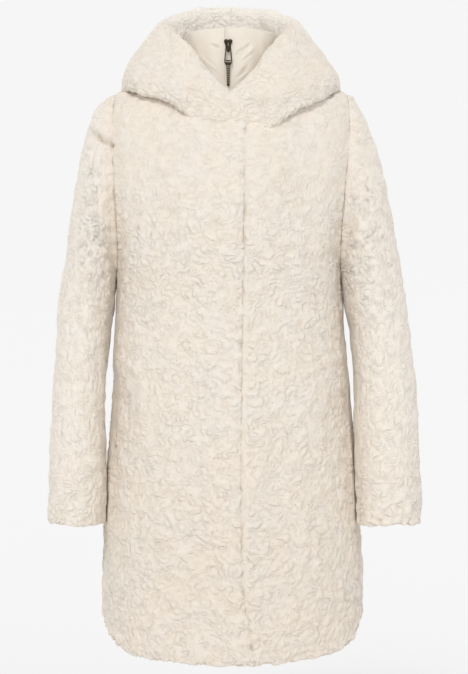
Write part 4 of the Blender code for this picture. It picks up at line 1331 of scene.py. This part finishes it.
def pullerPiece():
    s = zipSettings
    obj = bevelledCopy("zip_pull_metal", "zip_pull", 0.35 * mm)
    tail = [pullPoint(0, 0, s["tailTop"]), pullPoint(0, 0, s["tailEnd"])]
    ribSizes = rowSizes(s["ribSpacing"], s["tailWidth"], s["rib"], s["tailTaper"])
    beadSizes = rowSizes(s["beadSpacing"], s["bead"], s["bead"])
    rails = [
        [pullPoint(side * x * mm, -0.95 * mm, down * mm) for x, down in ((2.9, 2.0), (4.2, 17.4))]
        for side in (-1, 1)
    ]
    waist = [pullPoint(x * mm, -1.0 * mm, 19.6 * mm) for x in (-4.6, 4.6)]
    # the ribs, beads and band take the bright metal, a painted highlight
    parts = [
        (repeatAlong("ribs", "ring", [tail], ribSizes, highlightMetal), 1),
        (repeatAlong("beads", "bead", rails, beadSizes, highlightMetal), 1),
        (repeatAlong("band", "bead", [waist], rowSizes(1.5 * mm, 1.9 * mm, 1.9 * mm), highlightMetal), 1),
        (smallBall("tip", pullPoint(0, 0, 53.4 * mm), (2.1 * mm, 2.1 * mm, 2.3 * mm)), 0),
        (smallBall("knot", pullPoint(0, 0, 22.4 * mm), (4.6 * mm, 2.2 * mm, 2.6 * mm)), 0),
    ]
    joinInto(obj, parts, (darkMetal, highlightMetal))
    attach(obj, "puller")
    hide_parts("zip_pull")
    return obj


def sliderPiece():
    obj = bevelledCopy("zip_slider_metal", "zip_slider", 0.5 * mm)
    low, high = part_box("zip_slider")
    middle, top = (low[0] + high[0]) / 2, high[2]
    front = high[1] - 3.4 * mm
    parts = []
    for side in (-1, 1):
        centre = (middle + side * 3.0 * mm, front, top - 2.6 * mm)
        parts.append((smallBall("lobe", centre, zipSettings["lobe"]), 0))
    line = [(middle, front - 0.2 * mm, top - down * mm) for down in (3, 9)]
    # the ridge takes the bright metal, a painted highlight
    ridge = repeatAlong("ridge", "bead", [line], rowSizes(1.4 * mm, 1.6 * mm, 1.6 * mm), highlightMetal)
    joinInto(obj, parts + [(ridge, 1)], (darkMetal, highlightMetal))
    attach(obj, "coat")
    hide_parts("zip_slider")


def tapeLine(x, top, bottom, step=6 * mm, out=0.0):
    # points down the face of the tape, out metres in front of it
    line = []
    for z in np.arange(top, bottom, -step):
        hit = nodeTrees["zip_tape"].ray_cast(Vector((x, -0.4, z)), Vector((0, 1, 0)), 0.5)[0]
        if hit is not None:
            line.append((x, hit.y - out, z))
    return line


def tapePieces():
    s = zipSettings
    tape = newObject("zip_tape_cloth", meshFrom(solidCopy("zip_tape", s["merge"]), "zip_tape_cloth"))
    setFinishes(tape.data, (woven,))
    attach(tape, "coat")
    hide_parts("zip_tape")
    low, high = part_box("zip_tape")
    middle, end = (low[0] + high[0]) / 2, low[2] + 12 * mm
    rows = [
        tapeLine(middle - 0.9 * mm, 38 * mm, end, out=0.3 * mm),
        tapeLine(middle + 0.9 * mm, 38 * mm - s["toothSpacing"] / 2, end, out=0.3 * mm),
    ]
    toothSizes = rowSizes(s["toothSpacing"], s["toothWidth"], s["toothDepth"])
    teeth = repeatAlong("zip_teeth", "tooth", rows, toothSizes, thread)
    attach(teeth, "coat")
    return teeth


puller = pullerPiece()
sliderPiece()
teeth = tapePieces()
print("zip made:", len(teeth.data.polygons), "faces of teeth,", len(puller.data.polygons), "of puller")


stitchSettings = {"spacing": 4.2 * mm, "width": 0.55 * mm, "length": 3.0 * mm, "inset": 1.3 * mm}


def stitchPiece():
    s = stitchSettings
    low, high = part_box("zip_tape")
    paths = [
        tapeLine(x, 36 * mm, low[2] + 8 * mm, out=0.1 * mm)
        for x in (low[0] + s["inset"], high[0] - s["inset"])
    ]
    stitchSizes = rowSizes(s["spacing"], s["width"], s["length"])
    obj = repeatAlong("tape_stitches", "stitch", paths, stitchSizes, thread)
    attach(obj, "coat")
    return obj


print("stitches made:", len(stitchPiece().data.polygons), "faces")


studio = {
    "floorZ": -1.06,
    "wallY": 2.2,
    "sweep": 0.9,
    "halfWidth": 14.0,
    "nearY": -14.0,
    "top": 12.0,
    "paper": 0.20,
    "glow": 0.706,
    "world": 0.50,
    "away": 3.8,  # the camera's distance from the coat's middle plane
    "side": 0.0046,
    "height": -0.383,
    "viewHeight": 1.024,  # what the picture takes in at that distance, in metres
    "sensor": 36,
}

sunLights = {
    # the way its light goes, its spread in degrees and its strength
    "key": ((0.16, 0.72, -0.68), 12, 1.27),
    "fill": ((-0.45, 0.85, -0.1), 50, 0.37),
    "side": ((0.80, 0.45, -0.25), 60, 0.16),
    "rear": ((-0.80, 0.45, -0.25), 60, 0.14),
}


def studioSweep():
    # floor, curve and wall in one strip, clear from the outside so that it hides no rear view
    steps = 16
    floor, wall, bend = studio["floorZ"], studio["wallY"], studio["sweep"]
    line = [(studio["nearY"], floor)]
    for i in range(steps + 1):
        turn = math.pi / 2 * i / steps
        line.append((wall - bend + bend * math.sin(turn), floor + bend - bend * math.cos(turn)))
    line.append((wall, studio["top"]))
    points = [(side * studio["halfWidth"], y, z) for y, z in line for side in (-1, 1)]
    faces = [(2 * i, 2 * i + 1, 2 * i + 3, 2 * i + 2) for i in range(len(line) - 1)]
    mesh = bpy.data.meshes.new("studioSweep")
    mesh.from_pydata(points, [], faces)
    shadeSmooth(mesh)
    obj = newObject("studioSweep", mesh)
    made, tree, shader = newMaterial("paleStudio")[:3]
    setInputs(shader, {
        "Base Color": (studio["paper"],) * 3 + (1,),
        "Roughness": 1.0,
        "Specular IOR Level": 0.0,
        "Emission Color": (1, 1, 1, 1),
        "Emission Strength": studio["glow"],
    })
    side = addNode(tree, "ShaderNodeNewGeometry")
    clear = addNode(tree, "ShaderNodeBsdfTransparent")
    mixed = addNode(tree, "ShaderNodeMixShader")
    wire(
        tree,
        (side.outputs["Backfacing"], mixed.inputs[0]),
        (shader.outputs[0], mixed.inputs[1]),
        (clear.outputs[0], mixed.inputs[2]),
        (mixed.outputs[0], tree.nodes["Material Output"].inputs["Surface"]),
    )
    mesh.materials.append(made)


def sunLight(name, way, spread, strength):
    # a wide soft light from far off
    light = bpy.data.lights.new(name, "SUN")
    light.angle = math.radians(spread)
    light.energy = strength
    obj = newObject(name, light)
    obj.rotation_euler = Vector(way).to_track_quat("-Z", "Y").to_euler()


studioSweep()
world = bpy.data.worlds.new("studio")
bpy.context.scene.world = world
world.use_nodes = True
setInputs(world.node_tree.nodes["Background"], {"Color": (1, 1, 1, 1), "Strength": studio["world"]})
for name, (way, spread, strength) in sunLights.items():
    sunLight(name, way, spread, strength)

camera = newObject("camera", bpy.data.cameras.new("camera"))
camera.location = (studio["side"], -studio["away"], studio["height"])
camera.rotation_euler = (math.pi / 2, 0, 0)
camera.data.sensor_width = studio["sensor"]
camera.data.lens = studio["sensor"] * studio["away"] / studio["viewHeight"]
bpy.context.scene.camera = camera
bpy.context.scene.view_settings.view_transform = "Standard"
print("studio and camera set")
